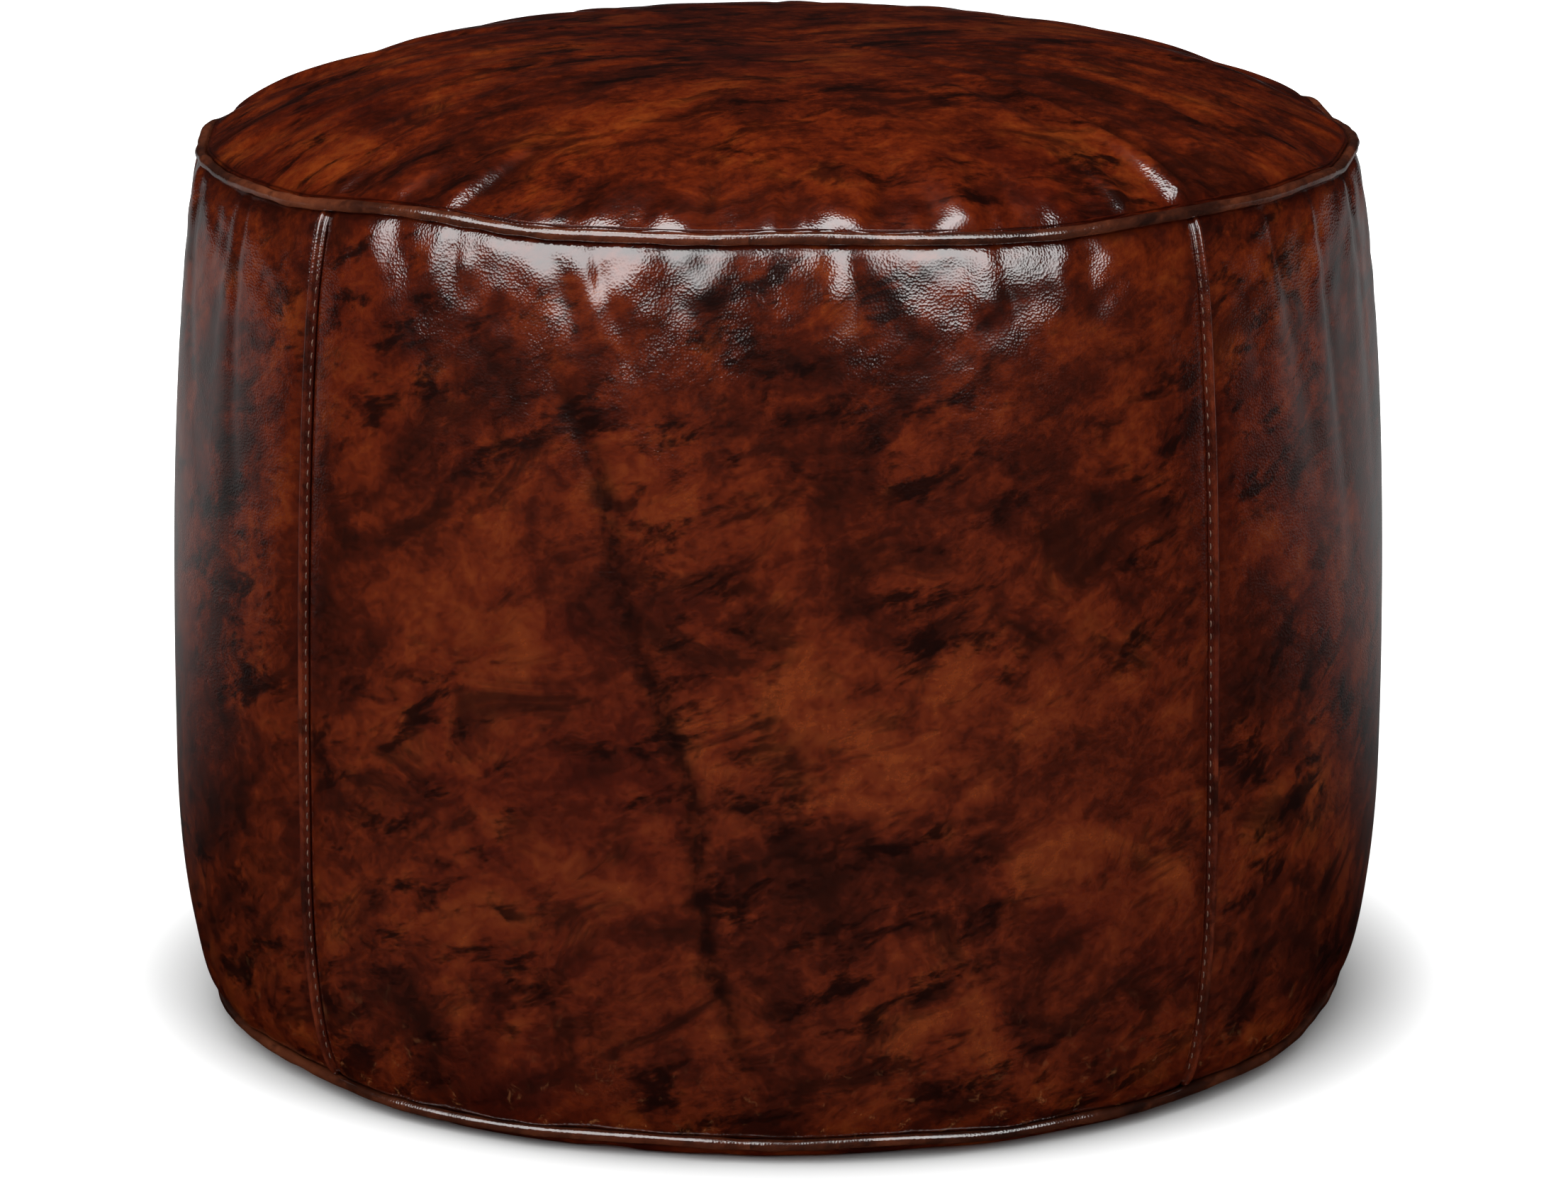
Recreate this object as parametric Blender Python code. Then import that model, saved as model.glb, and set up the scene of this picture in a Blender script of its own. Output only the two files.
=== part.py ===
"""A round stuffed leather pouf: four side panels, a crowned top, and a zipped base.

The leather is sewn with a corded welt round the top and the base, and with a folded
strip in each upright seam. Inside are wadding, a cotton liner bag and its filling.
Metres, +Z up. The origin is on the floor under the pouf's centre. The front is -Y.
"""

import math

import bmesh
import bpy
from mathutils import Matrix

# --- Driving dimensions ---------------------------------------------------------------
OVERALL_WIDTH = 0.560  # across the widest level of the sides
OVERALL_HEIGHT = 0.445  # floor to the middle of the crown
CROWN_HEIGHT = 0.045  # rise of the top above its welt
BULGE = 0.0195  # how far the sides stand out past the seams
WIDEST_SHARE = 0.28  # height of the widest level, as a share of the side
BASE_SEAM_HEIGHT = 0.0080  # floor to the base welt
TAPER = 0.0020  # the top seam's radius is this much under the base seam's

LEATHER = 0.0020
ALLOWANCE = 0.0100  # leather turned in past a seam
WELT_LEATHER = 0.0010
CORD_RADIUS = 0.0015
GAP = 0.0003  # between pieces that touch
STRIP_THICKNESS = 0.0020  # folded strip in an upright seam
STRIP_PROUD = 0.0012

PANELS = 4
PANEL_COLUMNS = 10  # facets across a side panel
ARC_ROWS = 5  # facets in each quarter arc of the side profile
CROWN_SHARES = (0.0, 0.35, 0.6, 0.78, 0.9, 0.96)  # rows of the crown, as shares of its radius
FOLD_ROOM = 2.3  # leathers under the crown's outer face where it meets its flange

WADDING = 0.0100  # pad between the side leather and the liner
LINER_CLOTH = 0.0010

SLOT_WIDTH = 0.0140  # opening in the base leather that the zip lies in
SLOT_LENGTH = 0.3800
HEM_WIDTH = 0.0100  # leather folded back along the slot
TAPE_WIDTH = 0.0150
TAPE_THICKNESS = 0.0008
COIL_WIDTH = 0.0030
COIL_HEIGHT = 0.0026
SLIDER_LENGTH = 0.0120
SLIDER_PLATE = 0.0012
POST_WIDTH = 0.0012  # wedge of the slider that runs between the two coils
RUN_CLEARANCE = 0.0004  # between the slider and what it slides on
STOP_LENGTH = 0.0030
PULL_LENGTH = 0.0300
PULL_WIDTH = 0.0070
PULL_THICKNESS = 0.0008
PULL_BAR = 0.0010  # bar of the pull that lies under the slider's loop
LOOP_LENGTH = 0.0064
LOOP_WALL = 0.0009

# --- Places worked out from them ------------------------------------------------------
SEGMENTS = PANELS * PANEL_COLUMNS
BASE_SEAM_RADIUS = OVERALL_WIDTH / 2 - BULGE + WIDEST_SHARE * TAPER
TOP_SEAM_RADIUS = BASE_SEAM_RADIUS - TAPER
TOP_SEAM_HEIGHT = OVERALL_HEIGHT - CROWN_HEIGHT
WELT_FLANGE = 2 * WELT_LEATHER + GAP  # two layers of welt leather, sewn together
CROWN_LOW = TOP_SEAM_HEIGHT + WELT_FLANGE / 2 + GAP
CROWN_RISE = OVERALL_HEIGHT - CROWN_LOW
SIDE_LOW = BASE_SEAM_HEIGHT + WELT_FLANGE / 2 + GAP
SIDE_HIGH = TOP_SEAM_HEIGHT - WELT_FLANGE / 2 - GAP
WIDEST_HEIGHT = SIDE_LOW + WIDEST_SHARE * (SIDE_HIGH - SIDE_LOW)
LINER_INSET = LEATHER + GAP + WADDING + GAP
LINER_HIGH = SIDE_HIGH - LEATHER - GAP
HOLE_RADIUS = TOP_SEAM_RADIUS - ALLOWANCE - GAP  # inside the ring of turned-in leather

TAPE_LOW = 2 * LEATHER + GAP
TAPE_HIGH = TAPE_LOW + TAPE_THICKNESS
COIL_LOW = TAPE_LOW
COIL_INNER = POST_WIDTH / 2 + RUN_CLEARANCE
COIL_OUTER = COIL_INNER + COIL_WIDTH
SLIDER_OUTER_FACE = COIL_LOW - RUN_CLEARANCE - SLIDER_PLATE
SLIDER_WIDTH = SLOT_WIDTH - 2 * LEATHER
ZIP_END = SLOT_LENGTH / 2
CHAIN_END = ZIP_END - SLIDER_LENGTH  # the coils run from -CHAIN_START to CHAIN_END
CHAIN_START = ZIP_END - PULL_LENGTH  # leaves room in the slot for the pull's tab
SLIDER_REST = CHAIN_END - SLIDER_LENGTH / 2 - STOP_LENGTH
SLIDER_TOP = COIL_LOW + COIL_HEIGHT + RUN_CLEARANCE + SLIDER_PLATE
LINER_LOW = SLIDER_TOP + GAP


# --- Shapes that several pieces share -------------------------------------------------
def at(radius, angle, height):
    """Point at an angle from the front, turning towards +X."""
    return (radius * math.sin(angle), -radius * math.cos(angle), height)


def side_point(turn, inset=0.0):
    """(radius, height) on the side's outline, which is two quarter ellipses that meet
    at the widest level. turn runs from -90 degrees at the base to 90 at the top, and
    inset moves the point along the leather's inward normal."""
    rise = SIDE_HIGH - WIDEST_HEIGHT if turn > 0 else WIDEST_HEIGHT - SIDE_LOW
    height = WIDEST_HEIGHT + rise * math.sin(turn)
    radius = seam_line(height) + BULGE * math.cos(turn)
    across, up = rise * math.cos(turn), BULGE * math.sin(turn)
    size = math.hypot(across, up)
    return (radius - inset * across / size, height - inset * up / size)


def seam_line(height):
    """Radius of the straight line from the base seam to the top seam."""
    share = (height - SIDE_LOW) / (SIDE_HIGH - SIDE_LOW)
    return BASE_SEAM_RADIUS + share * (TOP_SEAM_RADIUS - BASE_SEAM_RADIUS)


def side_turns(most=90.0):
    """The turns of the outline's rows, from base to top, in radians."""
    step = most / ARC_ROWS
    return [math.radians(step * i) for i in range(-ARC_ROWS, ARC_ROWS + 1)]


def material(name, colour, roughness, metallic=0.0):
    made = bpy.data.materials.new(name)
    made.use_nodes = True
    shader = made.node_tree.nodes["Principled BSDF"]
    shader.inputs["Base Color"].default_value = (*colour, 1.0)
    shader.inputs["Roughness"].default_value = roughness
    shader.inputs["Metallic"].default_value = metallic
    return made


def add_object(name, bm, finish, smooth=True):
    bmesh.ops.remove_doubles(bm, verts=bm.verts, dist=1e-6)
    bmesh.ops.recalc_face_normals(bm, faces=bm.faces)
    if bm.calc_volume(signed=True) < 0:
        bmesh.ops.reverse_faces(bm, faces=bm.faces)
    mesh = bpy.data.meshes.new(name)
    bm.to_mesh(mesh)
    bm.free()
    if smooth:
        mesh.shade_smooth()
        mesh.set_sharp_from_angle(angle=math.radians(40))
    mesh.materials.append(finish)
    made = bpy.data.objects.new(name, mesh)
    bpy.context.scene.collection.objects.link(made)
    return made


def turned(name, outline, finish, start=0.0, sweep=2 * math.pi):
    """Turns a closed (radius, height) outline about Z, and closes the ends of a part turn."""
    bm = bmesh.new()
    verts = [bm.verts.new(at(r, start, z)) for r, z in outline]
    edges = [bm.edges.new((a, b)) for a, b in zip(verts, verts[1:] + verts[:1])]
    steps = round(SEGMENTS * sweep / (2 * math.pi))
    spin_about = {"axis": (0, 0, 1), "cent": (0, 0, 0)}
    bmesh.ops.spin(bm, geom=verts + edges, angle=sweep, steps=steps, **spin_about)
    bmesh.ops.remove_doubles(bm, verts=bm.verts, dist=1e-6)
    bmesh.ops.delete(bm, geom=[e for e in bm.edges if not e.link_faces], context="EDGES")
    open_edges = [e for e in bm.edges if len(e.link_faces) == 1]
    if open_edges:
        bmesh.ops.holes_fill(bm, edges=open_edges, sides=0)
    return add_object(name, bm, finish)


def block(name, low, high, finish, bevel=0.0):
    """A box between two corners, with its edges bevelled."""
    bm = bmesh.new()
    bmesh.ops.create_cube(bm, size=1.0)
    size = [b - a for a, b in zip(low, high)]
    middle = [(a + b) / 2 for a, b in zip(low, high)]
    bmesh.ops.scale(bm, vec=size, verts=bm.verts)
    bmesh.ops.translate(bm, vec=middle, verts=bm.verts)
    if bevel:
        bmesh.ops.bevel(bm, geom=bm.edges[:], offset=bevel, segments=1, affect="EDGES")
    return add_object(name, bm, finish, smooth=False)


def combine(target, operation, *others):
    """Booleans the other objects into target, keeping them as hidden helpers."""
    for other in others:
        other.hide_render = True
        other.display_type = "WIRE"
        cut = target.modifiers.new(f"{operation} {other.name}", "BOOLEAN")
        cut.operation = operation
        cut.object = other


def move_origin(obj, place):
    """Puts the object's origin at place without moving its shape."""
    obj.data.transform(Matrix.Translation([-c for c in place]))
    obj.location = place


# --- Materials ------------------------------------------------------------------------
COVER_LEATHER = material("cover_leather", (0.19, 0.05, 0.018), 0.28)
WELT_FINISH = material("welt_leather", (0.10, 0.035, 0.018), 0.35)
STRIP_FINISH = material("strip_leather", (0.14, 0.025, 0.010), 0.35)
CORD_FINISH = material("cord_cotton", (0.72, 0.66, 0.54), 0.9)
CLOTH_FINISH = material("liner_cotton", (0.78, 0.74, 0.65), 0.9)
WADDING_FINISH = material("wadding_cotton", (0.86, 0.84, 0.78), 0.95)
FILLING_FINISH = material("filling_fibre", (0.80, 0.77, 0.68), 0.95)
TAPE_FINISH = material("zip_tape", (0.07, 0.035, 0.02), 0.8)
COIL_FINISH = material("zip_coil", (0.09, 0.045, 0.025), 0.45)
METAL_FINISH = material("zip_metal", (0.52, 0.38, 0.18), 0.35, metallic=1.0)


# --- Leather cover --------------------------------------------------------------------
def crown_point(share, inset=0.0):
    """(radius, height) on the crown at a share of its seam's radius. Its height over the
    seam is CROWN_RISE * (1 - share^4)^0.9, and inset moves the point along the leather's
    inward normal."""
    left = 1 - share**4
    slope = 3.6 * CROWN_RISE * share**3 * left**-0.1 / TOP_SEAM_RADIUS
    size = math.hypot(1, slope)
    height = CROWN_LOW + CROWN_RISE * left**0.9
    return (share * TOP_SEAM_RADIUS - inset * slope / size, height - inset / size)


def make_top_panel():
    """A crowned disc whose edge folds under to lie on the welt's flange."""
    outer = [crown_point(share) for share in CROWN_SHARES]
    inner = [crown_point(share, LEATHER) for share in CROWN_SHARES]
    # Inside, the crown meets the flange where there is room for both leathers.
    corner = (1 - (FOLD_ROOM * LEATHER / CROWN_RISE) ** (1 / 0.9)) ** 0.25
    flange = [
        (TOP_SEAM_RADIUS, CROWN_LOW),
        (TOP_SEAM_RADIUS - ALLOWANCE, CROWN_LOW),
        (TOP_SEAM_RADIUS - ALLOWANCE, CROWN_LOW + LEATHER),
        (TOP_SEAM_RADIUS * corner, CROWN_LOW + LEATHER),
    ]
    turned("top_panel", outer + flange + inner[::-1], COVER_LEATHER)


def panel_levels():
    """The side panel's levels from base to top, each as its (outer, inner, flap) points.
    The flaps of the upright seams stop short of the flanges at the base and the top."""
    turns = side_turns()
    levels = []
    for turn in turns:
        deep = LEATHER if turn in (turns[0], turns[-1]) else ALLOWANCE
        insets = (0.0, LEATHER, deep)
        levels.append([side_point(turn, inset) for inset in insets])
    flanges = [[(r - ALLOWANCE, z) for r, z in end] for end in (levels[0], levels[-1])]
    return [flanges[0], *levels, flanges[1]]


def panel_ring(bm, middle_angle, outer, inner, flap):
    """The panel's section at one level: its outer face from seam to seam, one flap, its
    inner face, and the other flap."""

    def across(place, columns, depth=0.0):
        radius, height = place
        clear = STRIP_THICKNESS / 2 + GAP + depth
        half = math.pi / PANELS - math.asin(clear / radius)
        return [bm.verts.new(at(radius, middle_angle + half * c, height)) for c in columns]

    columns = [2 * i / PANEL_COLUMNS - 1 for i in range(PANEL_COLUMNS + 1)]
    ring = across(outer, columns)
    ring += across(flap, [1.0]) + across(flap, [1.0], LEATHER) + across(inner, [1.0], LEATHER)
    ring += across(inner, columns[-2:0:-1])
    ring += across(inner, [-1.0], LEATHER) + across(flap, [-1.0], LEATHER) + across(flap, [-1.0])
    return ring


def make_side_panel(name, middle_angle):
    """One quarter of the side, with its allowances turned in at the base, at the top and
    along both upright seams."""
    bm = bmesh.new()
    rings = [panel_ring(bm, middle_angle, *level) for level in panel_levels()]
    count = len(rings[0])
    for lower, upper in zip(rings, rings[1:]):
        for i in range(count):
            j = (i + 1) % count
            bm.faces.new((lower[i], lower[j], upper[j], upper[i]))
    last = PANEL_COLUMNS
    for ring in (rings[0], rings[-1]):
        back = {i: ring[2 * last + 3 - i] for i in range(1, last)}
        for i in range(1, last - 1):
            bm.faces.new((ring[i], ring[i + 1], back[i + 1], back[i]))
        bm.faces.new((ring[0], ring[1], back[1], ring[2 * last + 3], ring[-1]))
        bm.faces.new((ring[last - 1], ring[last], ring[last + 1], ring[last + 3], back[last - 1]))
    add_object(name, bm, COVER_LEATHER)


def make_welt(place, radius, height):
    """A leather sleeve round a cotton cord. The sleeve's two edges run inwards together,
    between the leathers that the welt joins."""
    hole, skin = CORD_RADIUS + GAP / 2, CORD_RADIUS + GAP / 2 + WELT_LEATHER
    centre = radius + skin
    tail = radius - ALLOWANCE
    outside = arc(centre, height, skin, WELT_FLANGE / 2)
    inside = arc(centre, height, hole, GAP / 2)
    low_tail = [(tail, height - WELT_FLANGE / 2), (tail, height - GAP / 2)]
    high_tail = [(tail, height + GAP / 2), (tail, height + WELT_FLANGE / 2)]
    outline = outside + low_tail + inside[::-1] + high_tail
    turned(f"{place}_welt_sleeve", outline, WELT_FINISH)
    round_cord = [
        (centre + CORD_RADIUS * math.cos(a), height + CORD_RADIUS * math.sin(a))
        for a in (math.radians(60 * i) for i in range(6))
    ]
    turned(f"{place}_welt_cord", round_cord, CORD_FINISH)


def arc(centre, height, radius, half_mouth, steps=6):
    """Points round a circle, from the top of its inward mouth over the outside."""
    start = math.pi - math.asin(half_mouth / radius)
    angles = (start * (1 - 2 * i / steps) for i in range(steps + 1))
    return [(centre + radius * math.cos(a), height + radius * math.sin(a)) for a in angles]


def make_seam_strip(name, angle):
    """The folded strip in an upright seam: proud outside, and sewn in as deep as the
    panels' own turned-in edges."""
    turns = side_turns(72.0)
    outer = [side_point(t, inset=-STRIP_PROUD) for t in turns]
    inner = [side_point(t, inset=ALLOWANCE - LEATHER) for t in turns]
    bm = bmesh.new()
    sides = []
    for shift in (-STRIP_THICKNESS / 2, STRIP_THICKNESS / 2):
        move = (shift * math.cos(angle), shift * math.sin(angle), 0.0)
        ring = [
            bm.verts.new([c + m for c, m in zip(at(r, angle, z), move)])
            for r, z in outer + inner[::-1]
        ]
        bm.faces.new(ring)
        sides.append(ring)
    near, far = sides
    for i in range(len(near)):
        j = (i + 1) % len(near)
        bm.faces.new((near[i], near[j], far[j], far[i]))
    add_object(name, bm, STRIP_FINISH)


def make_base_panels():
    """Two half discs, flat on the floor, whose rims turn up and in to the base welt.
    Their straight edges are hemmed, and leave the slot that the zip lies in."""
    high = BASE_SEAM_HEIGHT - WELT_FLANGE / 2 - GAP
    rim = BASE_SEAM_RADIUS
    corner = high - LEATHER
    turned_in = rim - ALLOWANCE
    outline = [
        (0.0, 0.0),
        (rim - corner, 0.0),
        (rim - 0.3 * corner, 0.3 * corner),
        (rim, corner),
        (rim, high),
        (turned_in, high),
        (turned_in, high - LEATHER),
        (rim - LEATHER, high - LEATHER),
        (rim - corner - LEATHER, LEATHER),
        (0.0, LEATHER),
    ]
    for place, start, facing in (
        ("front", -math.pi / 2, -1),
        ("back", math.pi / 2, 1),
    ):
        half = turned(f"base_panel_{place}", outline, COVER_LEATHER, start, math.pi)
        half.data.transform(Matrix.Translation((0, facing * GAP / 2, 0)))
        reach = SLOT_WIDTH / 2 + HEM_WIDTH
        hem = between(
            f"hem_{place}", facing, ZIP_END + HEM_WIDTH, GAP / 2, reach, LEATHER / 2, 2 * LEATHER
        )
        slot = between(
            f"slot_{place}", facing, ZIP_END, -SLOT_WIDTH, SLOT_WIDTH / 2, -LEATHER, 3 * LEATHER
        )
        combine(half, "UNION", hem)
        combine(half, "DIFFERENCE", slot)


def between(name, facing, half_length, near, far, low, high, finish=None, bevel=0.0):
    """A block along the zip, from near to far on the front (-1) or back (1) side."""
    y = sorted((facing * near, facing * far))
    return block(
        name,
        (-half_length, y[0], low),
        (half_length, y[1], high),
        finish or COVER_LEATHER,
        bevel,
    )


# --- Zip ------------------------------------------------------------------------------
def make_zip_sides():
    """Each side's tape, its coil, and the stop crimped on the coil's end."""
    for place, facing in (("front", -1), ("back", 1)):
        inner = COIL_OUTER + GAP
        between(
            f"zip_tape_{place}", facing, ZIP_END, inner, inner + TAPE_WIDTH,
            TAPE_LOW, TAPE_HIGH, TAPE_FINISH,
        )
        y = sorted((facing * COIL_INNER, facing * COIL_OUTER))
        block(
            f"zip_coil_{place}",
            (-CHAIN_START, y[0], COIL_LOW),
            (CHAIN_END, y[1], COIL_LOW + COIL_HEIGHT),
            COIL_FINISH,
            COIL_WIDTH / 5,
        )
        start = CHAIN_END + GAP
        block(
            f"zip_top_stop_{place}",
            (start, y[0], COIL_LOW),
            (start + STOP_LENGTH, y[1], COIL_LOW + COIL_HEIGHT),
            METAL_FINISH,
            COIL_WIDTH / 8,
        )
    block(
        "zip_bottom_stop",
        (-CHAIN_START - GAP - STOP_LENGTH, -COIL_OUTER, COIL_LOW),
        (-CHAIN_START - GAP, COIL_OUTER, COIL_LOW + COIL_HEIGHT),
        METAL_FINISH,
        COIL_WIDTH / 8,
    )


def make_slider():
    """Two plates joined by a wedge between the coils. Lips on the plates reach towards
    the tapes, and a loop on the outer plate holds the pull."""
    x0, x1 = SLIDER_REST - SLIDER_LENGTH / 2, SLIDER_REST + SLIDER_LENGTH / 2
    half = SLIDER_WIDTH / 2
    outer = (SLIDER_OUTER_FACE, SLIDER_OUTER_FACE + SLIDER_PLATE)
    inner_low = COIL_LOW + COIL_HEIGHT + RUN_CLEARANCE
    inner = (inner_low, inner_low + SLIDER_PLATE)
    bite = SLIDER_PLATE / 2
    low, high = (x0, -half), (x1, half)
    body = block("zip_slider", (*low, outer[0]), (*high, outer[1]), METAL_FINISH, bite / 2)
    inner_plate = block(
        "slider_inner_plate", (*low, inner[0]), (*high, inner[1]), METAL_FINISH, bite / 2
    )
    post = block(
        "slider_post",
        (x1 - SLIDER_LENGTH / 4, -POST_WIDTH / 2, outer[0] + bite),
        (x1 - bite, POST_WIDTH / 2, inner[1] - bite),
        METAL_FINISH,
    )
    lips = []
    lip_in = COIL_OUTER + RUN_CLEARANCE
    for facing in (-1, 1):
        y = sorted((facing * lip_in, facing * (half - bite / 2)))
        high_lip = block(
            f"slider_lip_{facing}",
            (x0 + bite, y[0], TAPE_HIGH + RUN_CLEARANCE),
            (x1 - bite, y[1], inner[0] + bite),
            METAL_FINISH,
        )
        lips.append(high_lip)
    combine(body, "UNION", post, inner_plate, *lips, make_loop())
    move_origin(body, (SLIDER_REST, 0.0, SLIDER_OUTER_FACE))
    return body


def loop_room():
    """Height of the space under the slider's loop, which the pull's bar turns in."""
    return 2 * PULL_THICKNESS


def make_loop():
    """The loop on the slider's outer plate: a flat arch over the pull's bar."""
    drop = loop_room() + LOOP_WALL
    top = SLIDER_OUTER_FACE + SLIDER_PLATE / 2
    loop = block(
        "slider_loop",
        (SLIDER_REST - LOOP_LENGTH / 2, -LOOP_WALL, SLIDER_OUTER_FACE - drop),
        (SLIDER_REST + LOOP_LENGTH / 2, LOOP_WALL, top),
        METAL_FINISH,
    )
    room = LOOP_LENGTH / 2 - LOOP_WALL
    space = block(
        "slider_loop_space",
        (SLIDER_REST - room, -2 * LOOP_WALL, SLIDER_OUTER_FACE - loop_room()),
        (SLIDER_REST + room, 2 * LOOP_WALL, SLIDER_OUTER_FACE),
        METAL_FINISH,
    )
    combine(loop, "DIFFERENCE", space)
    return loop


def make_pull():
    """A flat tab with a bar at one end, which lies under the slider's loop. Its window
    leaves room for the loop as the tab swings over."""
    axis_height = SLIDER_OUTER_FACE - loop_room() / 2
    low, high = axis_height - PULL_THICKNESS / 2, axis_height + PULL_THICKNESS / 2
    start = SLIDER_REST - PULL_BAR / 2
    end = start - PULL_LENGTH + PULL_BAR
    tab = block(
        "zip_pull",
        (end, -PULL_WIDTH / 2, low),
        (SLIDER_REST + PULL_BAR / 2, PULL_WIDTH / 2, high),
        METAL_FINISH,
        PULL_THICKNESS / 4,
    )
    window = block(
        "pull_window",
        (start - LOOP_LENGTH / 2 - LOOP_WALL, -LOOP_WALL - 2 * GAP, low - GAP),
        (start, LOOP_WALL + 2 * GAP, high + GAP),
        METAL_FINISH,
    )
    combine(tab, "DIFFERENCE", window)
    move_origin(tab, (SLIDER_REST, 0.0, axis_height))
    return tab


# --- Inside ---------------------------------------------------------------------------
def make_top_wadding():
    """A domed pad that fills the crown and the ring of turned-in leather under it."""
    dome = [crown_point(share, LEATHER + GAP) for share in CROWN_SHARES]
    bottom = LINER_HIGH + GAP
    plug = [(HOLE_RADIUS, CROWN_LOW + LEATHER + GAP), (HOLE_RADIUS, bottom), (0.0, bottom)]
    turned("top_wadding", dome + plug, WADDING_FINISH)


def lining_turns():
    """Levels that the side wadding and the liner share with every other row of the side
    panels, so that their facets run parallel."""
    return side_turns()[1:-1:2]


def make_side_wadding(name, middle_angle):
    """A pad behind one side panel, between the turned-in edges of its upright seams."""
    outer = [side_point(turn, inset=LEATHER + GAP) for turn in lining_turns()]
    inner = [side_point(turn, inset=LINER_INSET - GAP) for turn in lining_turns()]
    step = 2 * math.pi / SEGMENTS
    start = middle_angle - math.pi / PANELS + step
    sweep = 2 * math.pi / PANELS - 2 * step
    turned(name, outer + inner[::-1], WADDING_FINISH, start, sweep)


def make_liner():
    """A cotton bag in three pieces: top disc, side tube and base disc."""
    hole = BASE_SEAM_RADIUS - ALLOWANCE - GAP
    low, high = LINER_LOW + LINER_CLOTH + GAP, LINER_HIGH - LINER_CLOTH - GAP
    outer = [(hole, low), (hole, SIDE_LOW + LEATHER + GAP)]
    outer += [side_point(turn, inset=LINER_INSET) for turn in lining_turns()]
    outer += [(HOLE_RADIUS, high)]
    inner = [(r - LINER_CLOTH, z) for r, z in outer]
    turned("liner_side", outer + inner[::-1], CLOTH_FINISH)
    for place, low in (("base", LINER_LOW), ("top", LINER_HIGH - LINER_CLOTH)):
        rim = outer[0][0] if place == "base" else outer[-1][0]
        disc = [(0.0, low), (rim, low), (rim, low + LINER_CLOTH), (0.0, low + LINER_CLOTH)]
        turned(f"liner_{place}", disc, CLOTH_FINISH)
    fill = [(r - LINER_CLOTH - GAP, z) for r, z in outer]
    turned("filling", [(0.0, fill[0][1]), *fill, (0.0, fill[-1][1])], FILLING_FINISH)


def main():
    for old in list(bpy.data.objects):
        bpy.data.objects.remove(old)
    make_top_panel()
    quarter = 2 * math.pi / PANELS
    for i, place in enumerate(("front", "right", "back", "left")):
        make_side_panel(f"side_panel_{place}", i * quarter)
        make_side_wadding(f"side_wadding_{place}", i * quarter)
    for i, place in enumerate(("front_right", "back_right", "back_left", "front_left")):
        make_seam_strip(f"seam_strip_{place}", (i + 0.5) * quarter)
    make_welt("top", TOP_SEAM_RADIUS, TOP_SEAM_HEIGHT)
    make_welt("base", BASE_SEAM_RADIUS, BASE_SEAM_HEIGHT)
    make_base_panels()
    make_zip_sides()
    make_slider()
    make_pull()
    make_top_wadding()
    make_liner()


main()
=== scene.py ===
# %% [markdown]
# # A round leather pouf
#
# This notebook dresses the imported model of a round, stuffed leather pouf: a crowned top, four side
# panels that meet in upright seams, a piped seam round the top and another round the base, and a zip
# across the underside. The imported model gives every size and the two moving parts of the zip. The
# leather, its puckers and its stitches are made here. All lengths are in metres, angles go round the
# pouf from the front towards its right side, and `turn` always means such an angle.

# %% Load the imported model
import math

import bpy
import numpy as np
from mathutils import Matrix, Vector


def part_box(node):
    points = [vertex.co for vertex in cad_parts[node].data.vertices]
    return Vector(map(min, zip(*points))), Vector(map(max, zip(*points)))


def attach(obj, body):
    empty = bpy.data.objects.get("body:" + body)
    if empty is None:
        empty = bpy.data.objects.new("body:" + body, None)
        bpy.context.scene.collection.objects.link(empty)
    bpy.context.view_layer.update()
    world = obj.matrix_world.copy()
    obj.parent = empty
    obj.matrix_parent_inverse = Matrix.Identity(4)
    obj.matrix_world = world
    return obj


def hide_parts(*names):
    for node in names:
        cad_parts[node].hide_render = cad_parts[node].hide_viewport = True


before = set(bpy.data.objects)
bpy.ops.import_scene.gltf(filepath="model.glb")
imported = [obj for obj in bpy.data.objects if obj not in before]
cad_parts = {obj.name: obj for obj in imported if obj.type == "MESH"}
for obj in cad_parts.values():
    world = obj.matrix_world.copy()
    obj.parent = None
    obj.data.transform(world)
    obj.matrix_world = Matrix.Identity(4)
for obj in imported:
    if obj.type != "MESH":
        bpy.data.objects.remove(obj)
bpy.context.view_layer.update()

scene = bpy.context.scene

# %% [markdown]
# ## Sizes
#
# Two rings of piping fix the whole outline, so their radius and height are read from the packed
# nodes. Between them the wall is a barrel that is widest low down, as the weight of the filling
# settles. The few numbers that a box can't give are named here.

# %% Read the two rings, the wall and the crown
FULL_TURN = 2 * np.pi
LINE_POINTS = 4001  # points of a line before its rows are laid along it


def ring_of(node):
    """Radius and height of the middle of a piping ring, and the radius of its tube, from its box."""
    low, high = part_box(node)
    tube = (high.z - low.z) / 2
    return high.x - tube, (low.z + high.z) / 2, tube


TOP_RING, TOP_HEIGHT, TUBE = ring_of("top_welt_sleeve")
BASE_RING, BASE_HEIGHT, _ = ring_of("base_welt_sleeve")
SEAM_STEP = TUBE  # the leather meets the piping one tube radius inside its middle
WALL_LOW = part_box("side_panel_front")[0].z
WALL_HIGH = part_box("side_panel_front")[1].z
CROWN_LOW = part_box("top_panel")[0].z
CROWN_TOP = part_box("top_panel")[1].z
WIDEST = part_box("side_panel_front")[0].y * -1
WIDEST_SHARE = 0.28  # height of the widest level, as a share of the wall
TOP_SEAM = TOP_RING - SEAM_STEP
BASE_SEAM = BASE_RING - SEAM_STEP
BULGE = WIDEST - (BASE_SEAM + WIDEST_SHARE * (TOP_SEAM - BASE_SEAM))
LEATHER = 0.0018
SEAMS = np.radians([45.0, 135.0, 225.0, 315.0])
SIDES = ("right", "back", "left", "front")  # the panel that starts at each seam
print(f"wall {WALL_LOW:.4f} to {WALL_HIGH:.4f}, bulge {BULGE:.4f}")
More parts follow.
